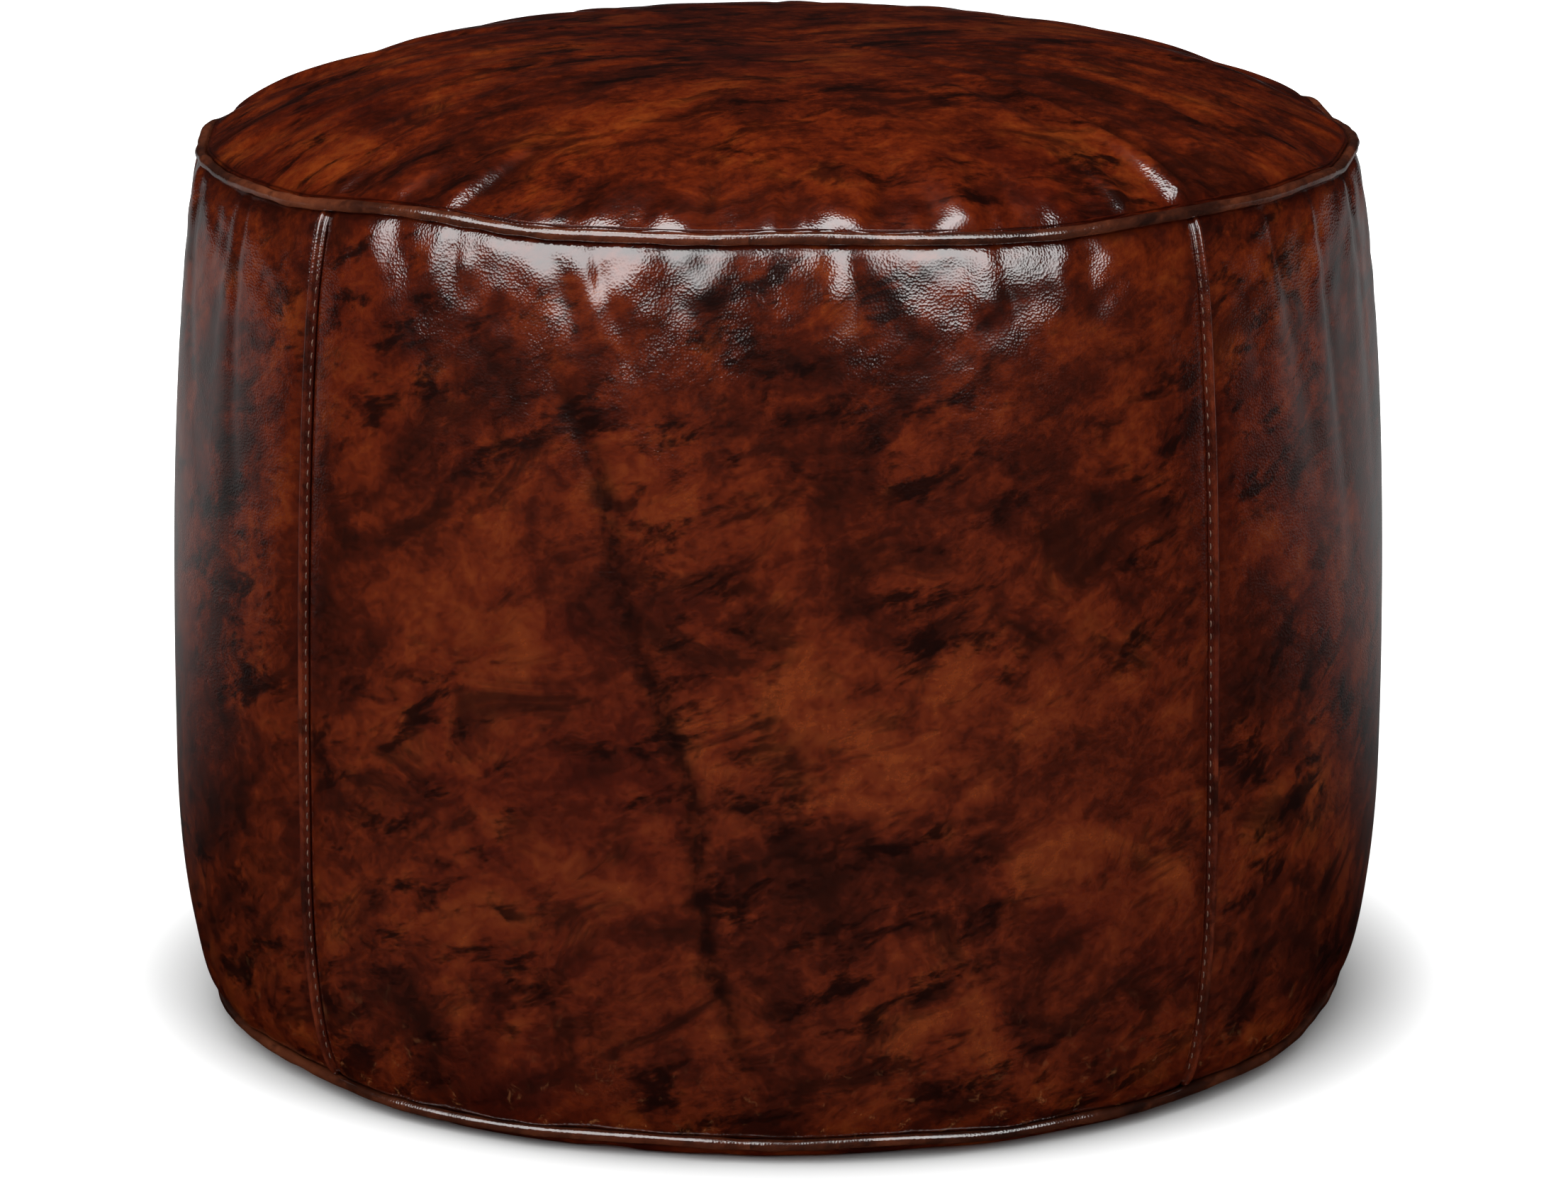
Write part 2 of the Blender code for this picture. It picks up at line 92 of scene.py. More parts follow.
print(f"seams at {BASE_SEAM:.4f} and {TOP_SEAM:.4f}")

# %% [markdown]
# ## Camera
#
# The pouf is seen from the front and a little above, from far enough away that its sides look
# upright. A long lens does that. The camera looks 14 degrees down and stands 2.5 degrees to the right.

# %% Place the camera
CAMERA_TURN = math.radians(2.5)
CAMERA_DISTANCE = 2.374
CAMERA_HEIGHT = 0.785
CAMERA_DOWN = math.radians(14.15)
CAMERA_SHIFT = 0.003
camera = bpy.data.objects.new("camera", bpy.data.cameras.new("camera"))
camera.data.lens = 120.1
camera.data.sensor_width = 36.0
camera.location = (
    math.sin(CAMERA_TURN) * CAMERA_DISTANCE + math.cos(CAMERA_TURN) * CAMERA_SHIFT,
    -math.cos(CAMERA_TURN) * CAMERA_DISTANCE + math.sin(CAMERA_TURN) * CAMERA_SHIFT,
    CAMERA_HEIGHT,
)
camera.rotation_euler = (math.radians(90) - CAMERA_DOWN, 0, CAMERA_TURN)
scene.collection.objects.link(camera)
scene.camera = camera
scene.view_settings.view_transform = "Standard"
print("camera at", [round(x, 3) for x in camera.location])

# %% [markdown]
# ## Nodes in a few words
#
# Every finish is a small network of shader nodes. One helper adds a node, sets its options and fills
# its sockets: a plain value is typed in, and another node's output is linked.

# %% A helper that adds nodes
def fill(tree, node, sockets):
    """Fills a node's inputs. sockets maps an input's name or number to a value or to an output."""
    for name, value in sockets.items():
        if isinstance(value, bpy.types.NodeSocket):
            tree.links.new(value, node.inputs[name])
        else:
            node.inputs[name].default_value = value


def add(tree, kind, sockets=None, **options):
    """Adds a node of this kind, with these sockets filled and these options set."""
    node = tree.nodes.new("ShaderNode" + kind)
    for option, value in options.items():
        setattr(node, option, value)
    fill(tree, node, sockets or {})
    return node


def maths(tree, operation, *values, clamp=False):
    """One sum, product, power or other operation on two or three values, as an output."""
    node = add(tree, "Math", dict(enumerate(values)), operation=operation, use_clamp=clamp)
    return node.outputs[0]


def between(tree, value, low, high, to_low=0.0, to_high=1.0):
    """value, stretched so that low gives to_low and high gives to_high, and held there outside."""
    sockets = {"Value": value, "From Min": low, "From Max": high, "To Min": to_low, "To Max": to_high}
    node = add(tree, "MapRange", sockets, interpolation_type="SMOOTHSTEP")
    return node.outputs["Result"]


def mixed(tree, factor, first, second):
    """The first colour turned into the second by a factor from 0 to 1."""
    node = add(tree, "Mix", {0: factor, 6: first, 7: second}, data_type="RGBA")
    return node.outputs[2]


def noise(tree, place, scale, detail=3.0, roughness=0.5, distortion=0.0, flat=True):
    """Smooth random values round 0.5, about 1/scale metres from one lump to the next."""
    sockets = {"Vector": place, "Scale": scale, "Detail": detail}
    sockets.update({"Roughness": roughness, "Distortion": distortion})
    dimensions = "2D" if flat else "3D"
    return add(tree, "TexNoise", sockets, noise_dimensions=dimensions).outputs["Fac"]


def place_of(tree, mapped=False):
    """Where a point lies: on the flat map of its leather or cloth, or else in the piece's own space."""
    if mapped:
        return add(tree, "UVMap", uv_map="leather_map").outputs["UV"]
    return add(tree, "TexCoord").outputs["Object"]


def bumped(tree, height, strength, distance, **under):
    """The normal over a bump of this height. With Normal given, it lies on top of another bump."""
    sockets = {"Height": height, "Strength": strength, "Distance": distance, **under}
    return add(tree, "Bump", sockets).outputs[0]


def finish_named(name):
    """A new material with one Principled shader: returns the material, its node tree and the shader."""
    material = bpy.data.materials.new(name)
    material.use_nodes = True
    tree = material.node_tree
    return material, tree, tree.nodes["Principled BSDF"]


print("helpers ready")

# %% [markdown]
# ## Studio
#
# Glossy leather shows its lights, so their shapes matter as much as their strength. Two wide soft
# boxes in front, left and right of the camera, give the bright patches under the piping with a narrow
# gap between them, and a third, higher up, gives the sheen on the crown. Boxes overhead, behind and
# under the floor add light that gloss doesn't show. The floor is pale. It casts no shadow, so that
# light from below reaches the underside. Its glow is held back close round the base, which paints a
# dark contact shadow there.

# %% World, floor and lights
world = bpy.data.worlds.new("studio")
scene.world = world
world.use_nodes = True
sky = world.node_tree
path = add(sky, "LightPath")
background = sky.nodes["Background"]
AMBIENT = 0.12
REFLECTED = 0.008
not_glossy = maths(sky, "MULTIPLY_ADD", path.outputs["Is Glossy Ray"], REFLECTED - AMBIENT, AMBIENT)
level = maths(sky, "MAXIMUM", not_glossy, path.outputs["Is Camera Ray"])
fill(sky, background, {"Color": (1, 1, 1, 1), "Strength": level})

FLOOR_HALF = 6.0
FLOOR_DROP = 0.0004
floor_mesh = bpy.data.meshes.new("floor")
corners = [(-1, -1), (1, -1), (1, 1), (-1, 1)]
corners = [(x * FLOOR_HALF, y * FLOOR_HALF, -FLOOR_DROP) for x, y in corners]
floor_mesh.from_pydata(corners, [], [(0, 1, 2, 3)])
floor = bpy.data.objects.new("floor", floor_mesh)
scene.collection.objects.link(floor)
floor_finish, tree, shader = finish_named("floor_paint")
grey = {"Base Color": (0.40, 0.40, 0.40, 1), "Roughness": 0.9, "Specular IOR Level": 0.0}
fill(tree, shader, grey)
away = add(tree, "VectorMath", {0: place_of(tree)}, operation="LENGTH").outputs["Value"]
# The floor glows more the farther it is from the pouf. The second glow stays off within a few centimetres of
# the base, so it paints a contact shadow round it.
far_glow = between(tree, away, 0.30, 1.1, 0.0, 0.80)
glow_past_painted_shadow = between(tree, away, 0.262, 0.345, 0.0, 0.66)
glow = add(tree, "Emission", {"Strength": maths(tree, "ADD", far_glow, glow_past_painted_shadow)})
paint = add(tree, "AddShader", {0: shader.outputs[0], 1: glow.outputs[0]})
depth = add(tree, "SeparateXYZ", {0: place_of(tree)}).outputs["Y"]
behind = add(tree, "Emission", {"Strength": between(tree, depth, 0.0, 1.0, 0.0, 0.22)})
mirrored = add(tree, "LightPath").outputs["Is Glossy Ray"]
paint = add(tree, "MixShader", {0: mirrored, 1: paint.outputs[0], 2: behind.outputs[0]})
seen = add(tree, "NewGeometry").outputs["Backfacing"]
clear = add(tree, "BsdfTransparent").outputs[0]
one_sided = add(tree, "MixShader", {0: seen, 1: paint.outputs[0], 2: clear})
tree.links.new(one_sided.outputs[0], tree.nodes["Material Output"].inputs["Surface"])
floor_mesh.materials.append(floor_finish)
floor.visible_shadow = False
LAMP_GAIN = 1.4  # makes up for the light that the fade at the rims takes away
FADE_RISE = 7.2


def soft_box(name, place, aim, size, power, mirrored=True):
    """A rectangular light at place, turned towards aim. Unless mirrored, gloss doesn't show it.

    Its strength is even over the middle and fades to nothing at the rim, as the product of a
    fade across and a fade down, each the lesser of 1 and FADE_RISE times u times 1 less u.
    """
    light = bpy.data.lights.new(name, "AREA")
    light.shape = "RECTANGLE"
    light.size, light.size_y = size
    light.energy = power * LAMP_GAIN
    light.use_nodes = True
    tree = light.node_tree
    spot = add(tree, "SeparateXYZ", {0: add(tree, "NewGeometry").outputs["Parametric"]})
    fade = 1.0
    for side in ("X", "Y"):
        rest = maths(tree, "SUBTRACT", 1.0, spot.outputs[side])
        inside = maths(tree, "MULTIPLY", spot.outputs[side], rest)
        level = maths(tree, "MINIMUM", maths(tree, "MULTIPLY", inside, FADE_RISE), 1.0)
        fade = maths(tree, "MULTIPLY", fade, level)
    fill(tree, tree.nodes["Emission"], {"Strength": fade})
    lamp = bpy.data.objects.new(name, light)
    lamp.location = place
    lamp.rotation_euler = (Vector(aim) - Vector(place)).to_track_quat("-Z", "Y").to_euler()
    lamp.visible_camera = False
    lamp.visible_glossy = mirrored
    scene.collection.objects.link(lamp)
    return lamp


LEFT_BOX = ((-1.40, -1.70, 1.72), (0, 0, 0.35), (3.3, 2.3), 96)
RIGHT_BOX = ((1.35, -1.85, 1.75), (0, 0, 0.35), (1.9, 2.2), 56)
front_boxes = [soft_box("left_box", *LEFT_BOX), soft_box("right_box", *RIGHT_BOX)]
crown_fills = [soft_box("left_fill", *LEFT_BOX, False), soft_box("right_fill", *RIGHT_BOX, False)]
soft_box("overhead_box", (0, -0.25, 2.4), (0, 0, 0.2), (2.2, 2.0), 58, mirrored=False)
soft_box("crown_box", (-0.1, -0.72, 2.30), (0, -0.2, 0.4), (2.4, 1.15), 40)
soft_box("back_box", (-0.9, 2.6, 1.3), (0, 0, 0.2), (1.6, 1.0), 26, mirrored=False)
soft_box("under_box", (0, 0, -0.9), (0, 0, 0.2), (1.2, 1.2), 11, mirrored=False)
zip_box = soft_box("zip_box", (0.1, -0.4, -0.9), (0, 0, 0.0), (1.6, 1.6), 9)

# %% [markdown]
# ## Surfaces from grids
#
# Nearly everything on a pouf is a bent sheet or a tube, so one helper turns a grid of points into a
# mesh. Each cell of the grid becomes one four-sided face. A grid may close on itself sideways (a
# ring) or upwards (a tube), and may end in a pole. Working on whole grids with numpy is quick and
# keeps each shape a short formula.

# %% A helper that makes a mesh from a grid
def grid_piece(name, points, uv, ring=False, tube=False, pole=None, start_pole=None, caps=False, fields=None):
    """points has shape (rows, columns, 3), with columns running rightwards and rows upwards as seen
    from outside, so that faces point outwards. uv has one more column (ring) or row (tube)."""
    rows, columns = points.shape[:2]
    index = np.arange(rows * columns).reshape(rows, columns)
    if ring:
        index = np.concatenate([index, index[:, :1]], axis=1)
    if tube:
        index = np.concatenate([index, index[:1]], axis=0)
    corners = [(slice(None, -1), slice(None, -1)), (slice(None, -1), slice(1, None))]
    corners += [(slice(1, None), slice(1, None)), (slice(1, None), slice(None, -1))]
    faces = np.stack([index[c] for c in corners], -1).reshape(-1, 4).tolist()
    places = np.stack([uv[c] for c in corners], -2).reshape(-1, 2)
    vertices = points.reshape(-1, 3)
    for end, row, order in ((pole, -1, 1), (start_pole, 0, -1)):
        if end is None:
            continue
        vertices = np.concatenate([vertices, [end]])
        edge, edge_uv = index[row][::order], uv[row][::order]
        spokes = np.stack([edge[:-1], edge[1:], np.full(len(edge) - 1, len(vertices) - 1)], -1)
        faces += spokes.tolist()
        middle = np.broadcast_to(edge_uv.mean(axis=0), (len(edge) - 1, 2))
        places = np.concatenate([places, np.stack([edge_uv[:-1], edge_uv[1:], middle], 1).reshape(-1, 2)])
    if caps:  # a tube that is closed upwards and open at its first and last columns
        first, last = index[:-1, 0], index[:-1, -1]
        faces += [first.tolist(), last[::-1].tolist()]
        places = np.concatenate([places, uv[:-1, 0], uv[:-1, -1][::-1]])
    mesh = bpy.data.meshes.new(name)
    mesh.from_pydata(vertices, [], faces)
    layer = mesh.uv_layers.new(name="leather_map")
    layer.data.foreach_set("uv", places.astype(np.float32).ravel())
    for field, values in (fields or {}).items():
        values = np.broadcast_to(values, (rows, columns)).ravel()
        values = np.append(values, np.zeros(len(vertices) - len(values)))
        mesh.attributes.new(field, "FLOAT", "POINT").data.foreach_set("value", values.astype(np.float32))
    mesh.shade_smooth()
    mesh.update()
    piece = bpy.data.objects.new(name, mesh)
    scene.collection.objects.link(piece)
    return piece


def thicken(piece, thickness):
    """Gives a sheet its thickness on the inside, so that its outer face stays where it is."""
    modifier = piece.modifiers.new("thickness", "SOLIDIFY")
    modifier.thickness = thickness
    modifier.offset = -1.0
    modifier.use_even_offset = False
    return piece


def settle(piece, finish, slot, body, *nodes):
    """Gives a piece its finish and puts it in place of the CAD nodes it stands for. slot is not used."""
    piece.data.materials.clear()
    piece.data.materials.append(finish)
    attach(piece, body)
    if nodes:
        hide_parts(*nodes)
    return piece


print("grid helper ready")

# %% [markdown]
# ## The outline
#
# The wall is a barrel. Seen from the side, its line is two quarter ellipses that meet at the widest
# level, so it leaves each seam sideways and turns upright. The crown is a flattened dome: its height
# falls slowly in the middle and fast at the rim. Rows are laid an equal length of leather apart, so
# that a puckered seam has as many rows as the flat middle.

# %% Lines of the wall and the crown
def running(steps):
    """The sum of the steps up to each point of a line, from 0 at its first point."""
    return np.concatenate([[0], np.cumsum(steps)])


def evenly_round(count):
    """Angles round a full turn, an equal step apart."""
    return np.linspace(0, FULL_TURN, count, endpoint=False)


def away_from(turn, middle):
    """How far a turn is past the middle one, by the shorter way round."""
    return (turn - middle + np.pi) % FULL_TURN - np.pi


def unit(vectors):
    """Vectors of the same directions and length 1."""
    return vectors / np.linalg.norm(vectors, axis=-1, keepdims=True)


def circle(angle):
    """The cosine and sine of each angle."""
    return np.stack([np.cos(angle), np.sin(angle)], -1)


def flat_map(right, up):
    """A map for a grid from its places to the right and its places up."""
    return np.stack(np.meshgrid(right, up), -1)


def even_rows(radius, height, count):
    """The same line through `count` points an equal length apart, and that length in all."""
    run = running(np.hypot(np.diff(radius), np.diff(height)))
    at = np.linspace(0, run[-1], count)
    return np.interp(at, run, radius), np.interp(at, run, height), run[-1]


def wall_line(count):
    """From the base seam up: the straight line between the seams, pushed out by BULGE times the cosine
    of a turn that runs from -90 degrees through 0 at the widest level to +90 degrees."""
    turn = np.linspace(-np.pi / 2, np.pi / 2, LINE_POINTS)
    widest = WALL_LOW + WIDEST_SHARE * (WALL_HIGH - WALL_LOW)
    rise = np.where(turn > 0, WALL_HIGH - widest, widest - WALL_LOW)
    height = widest + rise * np.sin(turn)
    share = (height - WALL_LOW) / (WALL_HIGH - WALL_LOW)
    return even_rows(BASE_SEAM + share * (TOP_SEAM - BASE_SEAM) + BULGE * np.cos(turn), height, count)


def crown_line(count):
    """From the rim inwards: the height above the rim is the crown's rise times (1 - share^4)^0.9,
    where share is the radius as a share of the seam's. It stops just short of the middle."""
    share = np.linspace(1, 0.004, LINE_POINTS)
    height = CROWN_LOW + (CROWN_TOP - CROWN_LOW) * (1 - share**4) ** 0.9
    return even_rows(share * TOP_SEAM, height, count)


def lathe(radius, height, turn):
    """Every point of a line swept round the middle: radius times the sine and cosine of the turn."""
    flat = np.ones_like(turn)
    return np.stack(
        [np.outer(radius, np.sin(turn)), -np.outer(radius, np.cos(turn)), np.outer(height, flat)], -1
    )


ROUND = 288
WALL_ROWS = 68
CROWN_ROWS = 44
turns = evenly_round(ROUND)
wall_radius, wall_height, WALL_LENGTH = wall_line(WALL_ROWS)
crown_radius, crown_height, CROWN_LENGTH = crown_line(CROWN_ROWS)
wall = lathe(wall_radius, wall_height, turns)
crown = lathe(crown_radius, crown_height, turns)
wall_run = np.linspace(0, WALL_LENGTH, WALL_ROWS)[:, None]  # leather above the base seam
crown_run = np.linspace(0, CROWN_LENGTH, CROWN_ROWS)[:, None]  # leather inwards from the top seam
print(f"leather up the wall {WALL_LENGTH:.3f}, from the rim to the middle {CROWN_LENGTH:.3f}")

# %% [markdown]
# ## Puckers
#
# A flat disc of leather can't become a dome by itself. The maker eases the extra leather in along the
# seam, and it gathers there into soft humps with sharp little valleys between them, which die out
# inwards. A sum of waves round the rim, made positive, has just that form: rounded tops that meet in
# creases. Wide waves reach far in and narrow ones stay near the seam.

# %% Waves that gather along a seam
def waves(turn, seed, low, high, fall=0.7):
    """Sum of cosines of the turn with whole numbers of waves from low to high, weaker as they narrow,
    scaled so that its usual size is 1."""
    random = np.random.default_rng(seed)
    total = np.zeros_like(turn)
    power = 0.0
    for count in range(low, high):
        size = random.normal() * count**-fall
        power += size**2 / 2
        total += size * np.cos(count * turn + random.uniform(0, FULL_TURN))
    return total / math.sqrt(power)


def gathers(turn, run, seed, low, high, reach):
    """Humps and creases at a seam: waves that each fade over their own width times reach as the run of
    leather from the seam grows, with the sign taken off so that valleys are sharp. Zero at the seam."""
    random = np.random.default_rng(seed)
    total = np.zeros(np.broadcast(turn, run).shape)
    power = 0.0
    for count in range(low, high):
        width = FULL_TURN * TOP_SEAM / count
        lean = random.normal() * 1.6
        phase = random.uniform(0, FULL_TURN)
        fade = np.exp(-((run / (width * reach)) ** 2))
        size = random.normal() * count**-0.45
        power += size**2 / 2
        total += size * fade * np.cos(count * turn + phase + lean * run / 0.1)
    total /= math.sqrt(power)
    near = np.exp(-((run / 0.10) ** 2))
    humps = np.sqrt(total**2 + 0.03) - 0.75 * near
    return humps * (1 - np.exp(-run / 0.007))


def dents(turn, run, seed, reach):
    """Small crumples in every direction near a seam: cosines of the turn and the run together, with
    random slants, of usual size 1, which fade within reach of the seam. Zero at the seam."""
    random = np.random.default_rng(seed)
    total = np.zeros(np.broadcast(turn, run).shape)
    for _ in range(36):
        length = random.uniform(0.014, 0.034)
        slant = random.uniform(-1.3, 1.3)
        across = FULL_TURN * math.cos(slant) / length * TOP_SEAM
        down = FULL_TURN * math.sin(slant) / length
        total += np.cos(round(across) * turn + down * run + random.uniform(0, FULL_TURN))
    total /= math.sqrt(36 / 2)
    return total * np.exp(-((run / reach) ** 2)) * (1 - np.exp(-run / 0.006))


def folds(turn, run, rows):
    """Single folds, given one by one. Each row is (turn in degrees, half width, reach, height, sweep in
    degrees). Across, a fold is a rounded hump with a narrower valley on its right. Along its length it
    rises from the seam within a few millimetres, fades over its reach and swings by its sweep."""
    total = np.zeros(np.broadcast(turn, run).shape)
    for angle, width, reach, height, sweep in rows:
        middle = np.radians(angle + sweep * np.clip(run / reach, 0, 2) ** 1.4)
        away = away_from(turn, middle)
        radius = np.maximum(TOP_SEAM - run * 0.8, 0.02)
        across = away * radius / (width * (0.65 + 0.6 * np.clip(run / reach, 0, 1.5)))
        shape = np.exp(-(across**2)) - 0.75 * np.exp(-(((across - 1.25) / 0.45) ** 2))
        total += height * shape * (1 - np.exp(-run / 0.006)) * np.exp(-((run / reach) ** 2))
    return total


CROWN_FOLDS = (
    (-86, 0.006, 0.14, 0.0008, 5), (-78, 0.005, 0.17, 0.0009, 6), (-71, 0.007, 0.12, 0.0007, 4),
    (-63, 0.006, 0.16, 0.0008, 5), (-52, 0.008, 0.12, 0.0007, 3), (-45, 0.007, 0.17, 0.0010, 4),
    (-37, 0.010, 0.08, 0.0011, 2), (-30, 0.008, 0.070, 0.0022, 2), (-20, 0.014, 0.050, 0.0014, -1),
    (-7.5, 0.014, 0.050, 0.0022, -2), (2, 0.007, 0.042, 0.0017, 0), (9, 0.010, 0.048, 0.0020, 2),
    (15, 0.008, 0.042, 0.0016, 1), (21, 0.009, 0.065, 0.0024, -2), (31, 0.012, 0.050, 0.0012, -3),
    (38, 0.006, 0.11, 0.0012, -4), (45, 0.007, 0.19, 0.0022, -6), (55, 0.006, 0.13, 0.0011, -5),
    (62, 0.006, 0.17, 0.0015, -8), (69, 0.005, 0.15, 0.0014, -7), (76, 0.005, 0.17, 0.0016, -8),
    (83, 0.005, 0.15, 0.0016, -7), (90, 0.006, 0.14, 0.0016, -6), (101, 0.008, 0.12, 0.0016, -5),
    (118, 0.007, 0.13, 0.0014, 4), (133, 0.009, 0.10, 0.0016, -4), (149, 0.006, 0.15, 0.0013, 5),
    (166, 0.010, 0.08, 0.0018, 0), (183, 0.007, 0.12, 0.0014, -4), (198, 0.009, 0.09, 0.0016, 3),
    (214, 0.006, 0.15, 0.0013, 5), (231, 0.009, 0.10, 0.0016, -3), (247, 0.006, 0.14, 0.0013, 5),
    (262, 0.007, 0.12, 0.0012, 4),
)
WALL_FOLDS = (
    (-38, 0.014, 0.050, 0.0009, 2), (-30, 0.010, 0.060, 0.0013, -2), (-22, 0.016, 0.055, 0.0009, 3),
    (-15.5, 0.007, 0.070, 0.0011, 4), (-10, 0.015, 0.050, 0.0008, -1), (-2, 0.013, 0.050, 0.0008, 1),
    (7, 0.010, 0.045, 0.0011, -2), (14, 0.014, 0.055, 0.0007, 0), (21, 0.009, 0.070, 0.0008, 2),
    (28, 0.015, 0.050, 0.0008, -2), (37, 0.010, 0.060, 0.0009, 1), (54, 0.009, 0.11, 0.0013, 2),
    (63, 0.007, 0.15, 0.0013, 1), (74, 0.010, 0.12, 0.0012, -2), (83, 0.008, 0.10, 0.0012, 1),
    (99, 0.011, 0.08, 0.0014, 2), (116, 0.009, 0.12, 0.0012, -2), (143, 0.013, 0.07, 0.0012, 2),
    (158, 0.009, 0.10, 0.0012, -1), (171, 0.014, 0.06, 0.0012, 2), (190, 0.011, 0.09, 0.0012, 2),
    (205, 0.012, 0.07, 0.0013, -2), (236, 0.009, 0.12, 0.0012, 2), (252, 0.011, 0.09, 0.0013, 1),
    (271, 0.008, 0.14, 0.0014, -2), (284, 0.010, 0.10, 0.0013, 2), (300, 0.007, 0.13, 0.0013, -1),
)
print(len(CROWN_FOLDS), "folds in the crown,", len(WALL_FOLDS), "in the wall")

# %% [markdown]
# ## A seam that wanders
#
# The piping is pulled in and out by the leather on both sides of it, so neither ring is a true
# circle. The same wave is given to the piping and to the leather it is sewn to. It fades into the
# leather over a few centimetres.

# %% How far each ring strays
def top_stray(turn):
    """Outwards and upwards wander of the top seam, with one place at the left and two at the
    right where it kicks up."""
    out = 0.0007 * waves(turn, 11, 3, 22)
    up = 0.0011 * waves(turn, 12, 2, 26)
    for angle, lift, push in ((-92, 0.0020, 0.0010), (84, 0.0016, 0.0012), (110, 0.0034, 0.0012)):
        away = away_from(turn, np.radians(angle))
        kick = np.exp(-((away / np.radians(5)) ** 2))
        out = out + push * kick
        up = up + lift * kick
    return out, up


def base_stray(turn):
    """Outwards and upwards wander of the base seam. It never sinks far, because the floor is near."""
    return 0.0008 * waves(turn, 21, 3, 24), 0.0009 * waves(turn, 22, 3, 24)


def strayed(grid, turn, run, stray, reach=0.030):
    """The grid moved by a seam's wander, which fades with the run of leather from that seam."""
    out, up = stray(turn)
    fade = np.exp(-((run / reach) ** 2))
    moved = grid.copy()
    moved[..., 0] += fade * out * np.sin(turn)
    moved[..., 1] -= fade * out * np.cos(turn)
    moved[..., 2] += fade * up
    return moved


def outward(grid):
    """The way out of the leather at each point: the step to the right crossed with the step up."""
    right = np.roll(grid, -1, axis=1) - np.roll(grid, 1, axis=1)
    return unit(np.cross(right, np.gradient(grid, axis=0)))


wall = strayed(wall, turns, wall_run, base_stray)
wall = strayed(wall, turns, WALL_LENGTH - wall_run, top_stray)
crown = strayed(crown, turns, crown_run, top_stray)
print("top seam strays up to", round(float(np.abs(top_stray(turns)[1]).max() * 1000), 2), "mm up")

# %% [markdown]
# ## Stuffing the cover
#
# The broad shape of stuffed leather is left to physics. The leather starts a little gathered. Its cut
# is larger than the start near the seams, as the real panels are, and the filling pushes from inside
# while the seams hold. Blender's cloth then finds the puckers by itself. How far a point may move is
# capped, so that the pouf keeps its size.

# %% Push the leather out with the cloth simulation
CUT_GROWTH = 0.05  # how much wider the leather is cut where it is slackest
FRAMES = 20


def stuffed(name, start, slack, held, push, cap):
    """start is a grid that closes on itself sideways, slack how much of the extra cut each point gets,
    held how firmly it is sewn, push the pressure inside and cap how far a point may move. Returns the
    grid after the simulation."""
    rows, columns = start.shape[:2]
    blank = np.zeros((rows, columns + 1, 2))
    cover = grid_piece(name, start, blank, ring=True)
    for group, values in (("held", held), ("slack", slack)):
        weights = cover.vertex_groups.new(name=group)
        for row in range(rows):
            level = np.broadcast_to(values, (rows, columns))[row]
            for column in np.nonzero(level)[0]:
                weights.add([int(row * columns + column)], float(level[column]), "REPLACE")
    cover.shape_key_add(name="start")
    cut = cover.shape_key_add(name="cut")
    larger = start.copy()
    larger[..., :2] *= (1 + CUT_GROWTH * slack)[..., None]
    cut.data.foreach_set("co", larger.astype(np.float32).ravel())
    cloth = cover.modifiers.new("cloth", "CLOTH")
    leathery = {
        "rest_shape_key": cut, "vertex_group_mass": "held", "quality": 6, "mass": 0.3,
        "tension_stiffness": 15, "compression_stiffness": 15, "shear_stiffness": 5,
        "bending_stiffness": 0.5, "tension_damping": 5, "compression_damping": 5, "shear_damping": 5,
        "air_damping": 2, "use_pressure": True, "uniform_pressure_force": push,
    }
    for setting, value in leathery.items():
        setattr(cloth.settings, setting, value)
    cloth.settings.effector_weights.gravity = 0
    cloth.collision_settings.use_collision = False
    cloth.point_cache.frame_start = 1
    cloth.point_cache.frame_end = FRAMES
    for moment in range(1, FRAMES + 1):
        scene.frame_set(moment)
    result = cover.evaluated_get(bpy.context.evaluated_depsgraph_get())
    after = np.empty(rows * columns * 3, np.float32)
    result.data.vertices.foreach_get("co", after)
    bpy.data.objects.remove(cover)
    scene.frame_set(1)
    move = after.reshape(rows, columns, 3).astype(float) - start
    size = np.linalg.norm(move, axis=-1, keepdims=True)
    print(name, "moved at most", round(float(size.max() * 1000), 1), "mm before the cap")
    return start + move * (cap * np.tanh(size / cap) / np.maximum(size, 1e-9))


wall_from_top = WALL_LENGTH - wall_run
broad_wall = 0.0008 * gathers(turns, wall_from_top, 31, 7, 24, 0.95)
broad_wall = broad_wall + 0.0009 * gathers(turns, wall_run, 32, 9, 30, 0.8)
uneven = 0.0009 * waves(turns, 33, 2, 9) * np.sin(np.pi * wall_run / WALL_LENGTH)
wall_start = wall + outward(wall) * (broad_wall + uneven)[..., None]
crown_fade = np.clip(1 - crown_run / CROWN_LENGTH, 0, 1) ** 0.6
broad_crown = 0.0016 * gathers(turns, crown_run, 41, 8, 28, 1.0) * crown_fade
crown_start = crown + outward(crown) * broad_crown[..., None]

spread = 0.075 * (1 + 0.5 * waves(turns, 34, 2, 14) / 3)
wall_slack = np.exp(-((wall_from_top / spread) ** 2)) + 0.5 * np.exp(-((wall_run / 0.05) ** 2))
crown_slack = np.exp(-((crown_run / spread) ** 2))
seam_gap = np.abs(away_from(turns[None, :], SEAMS[:, None])).min(axis=0)
wall_held = np.zeros((WALL_ROWS, ROUND))
wall_held[:, seam_gap < 0.012] = 0.4
wall_held[[0, -1]] = 1.0
crown_held = np.zeros((CROWN_ROWS, ROUND))
crown_held[0] = 1.0
crown_held[-2:] = 0.5
wall_skin = stuffed("wall_cloth", wall_start, np.clip(wall_slack, 0, 1), wall_held, 3.0, 0.0022)
crown_skin = stuffed("crown_cloth", crown_start, np.clip(crown_slack, 0, 1), crown_held, 2.0, 0.0025)
print("skins", wall_skin.shape, crown_skin.shape)

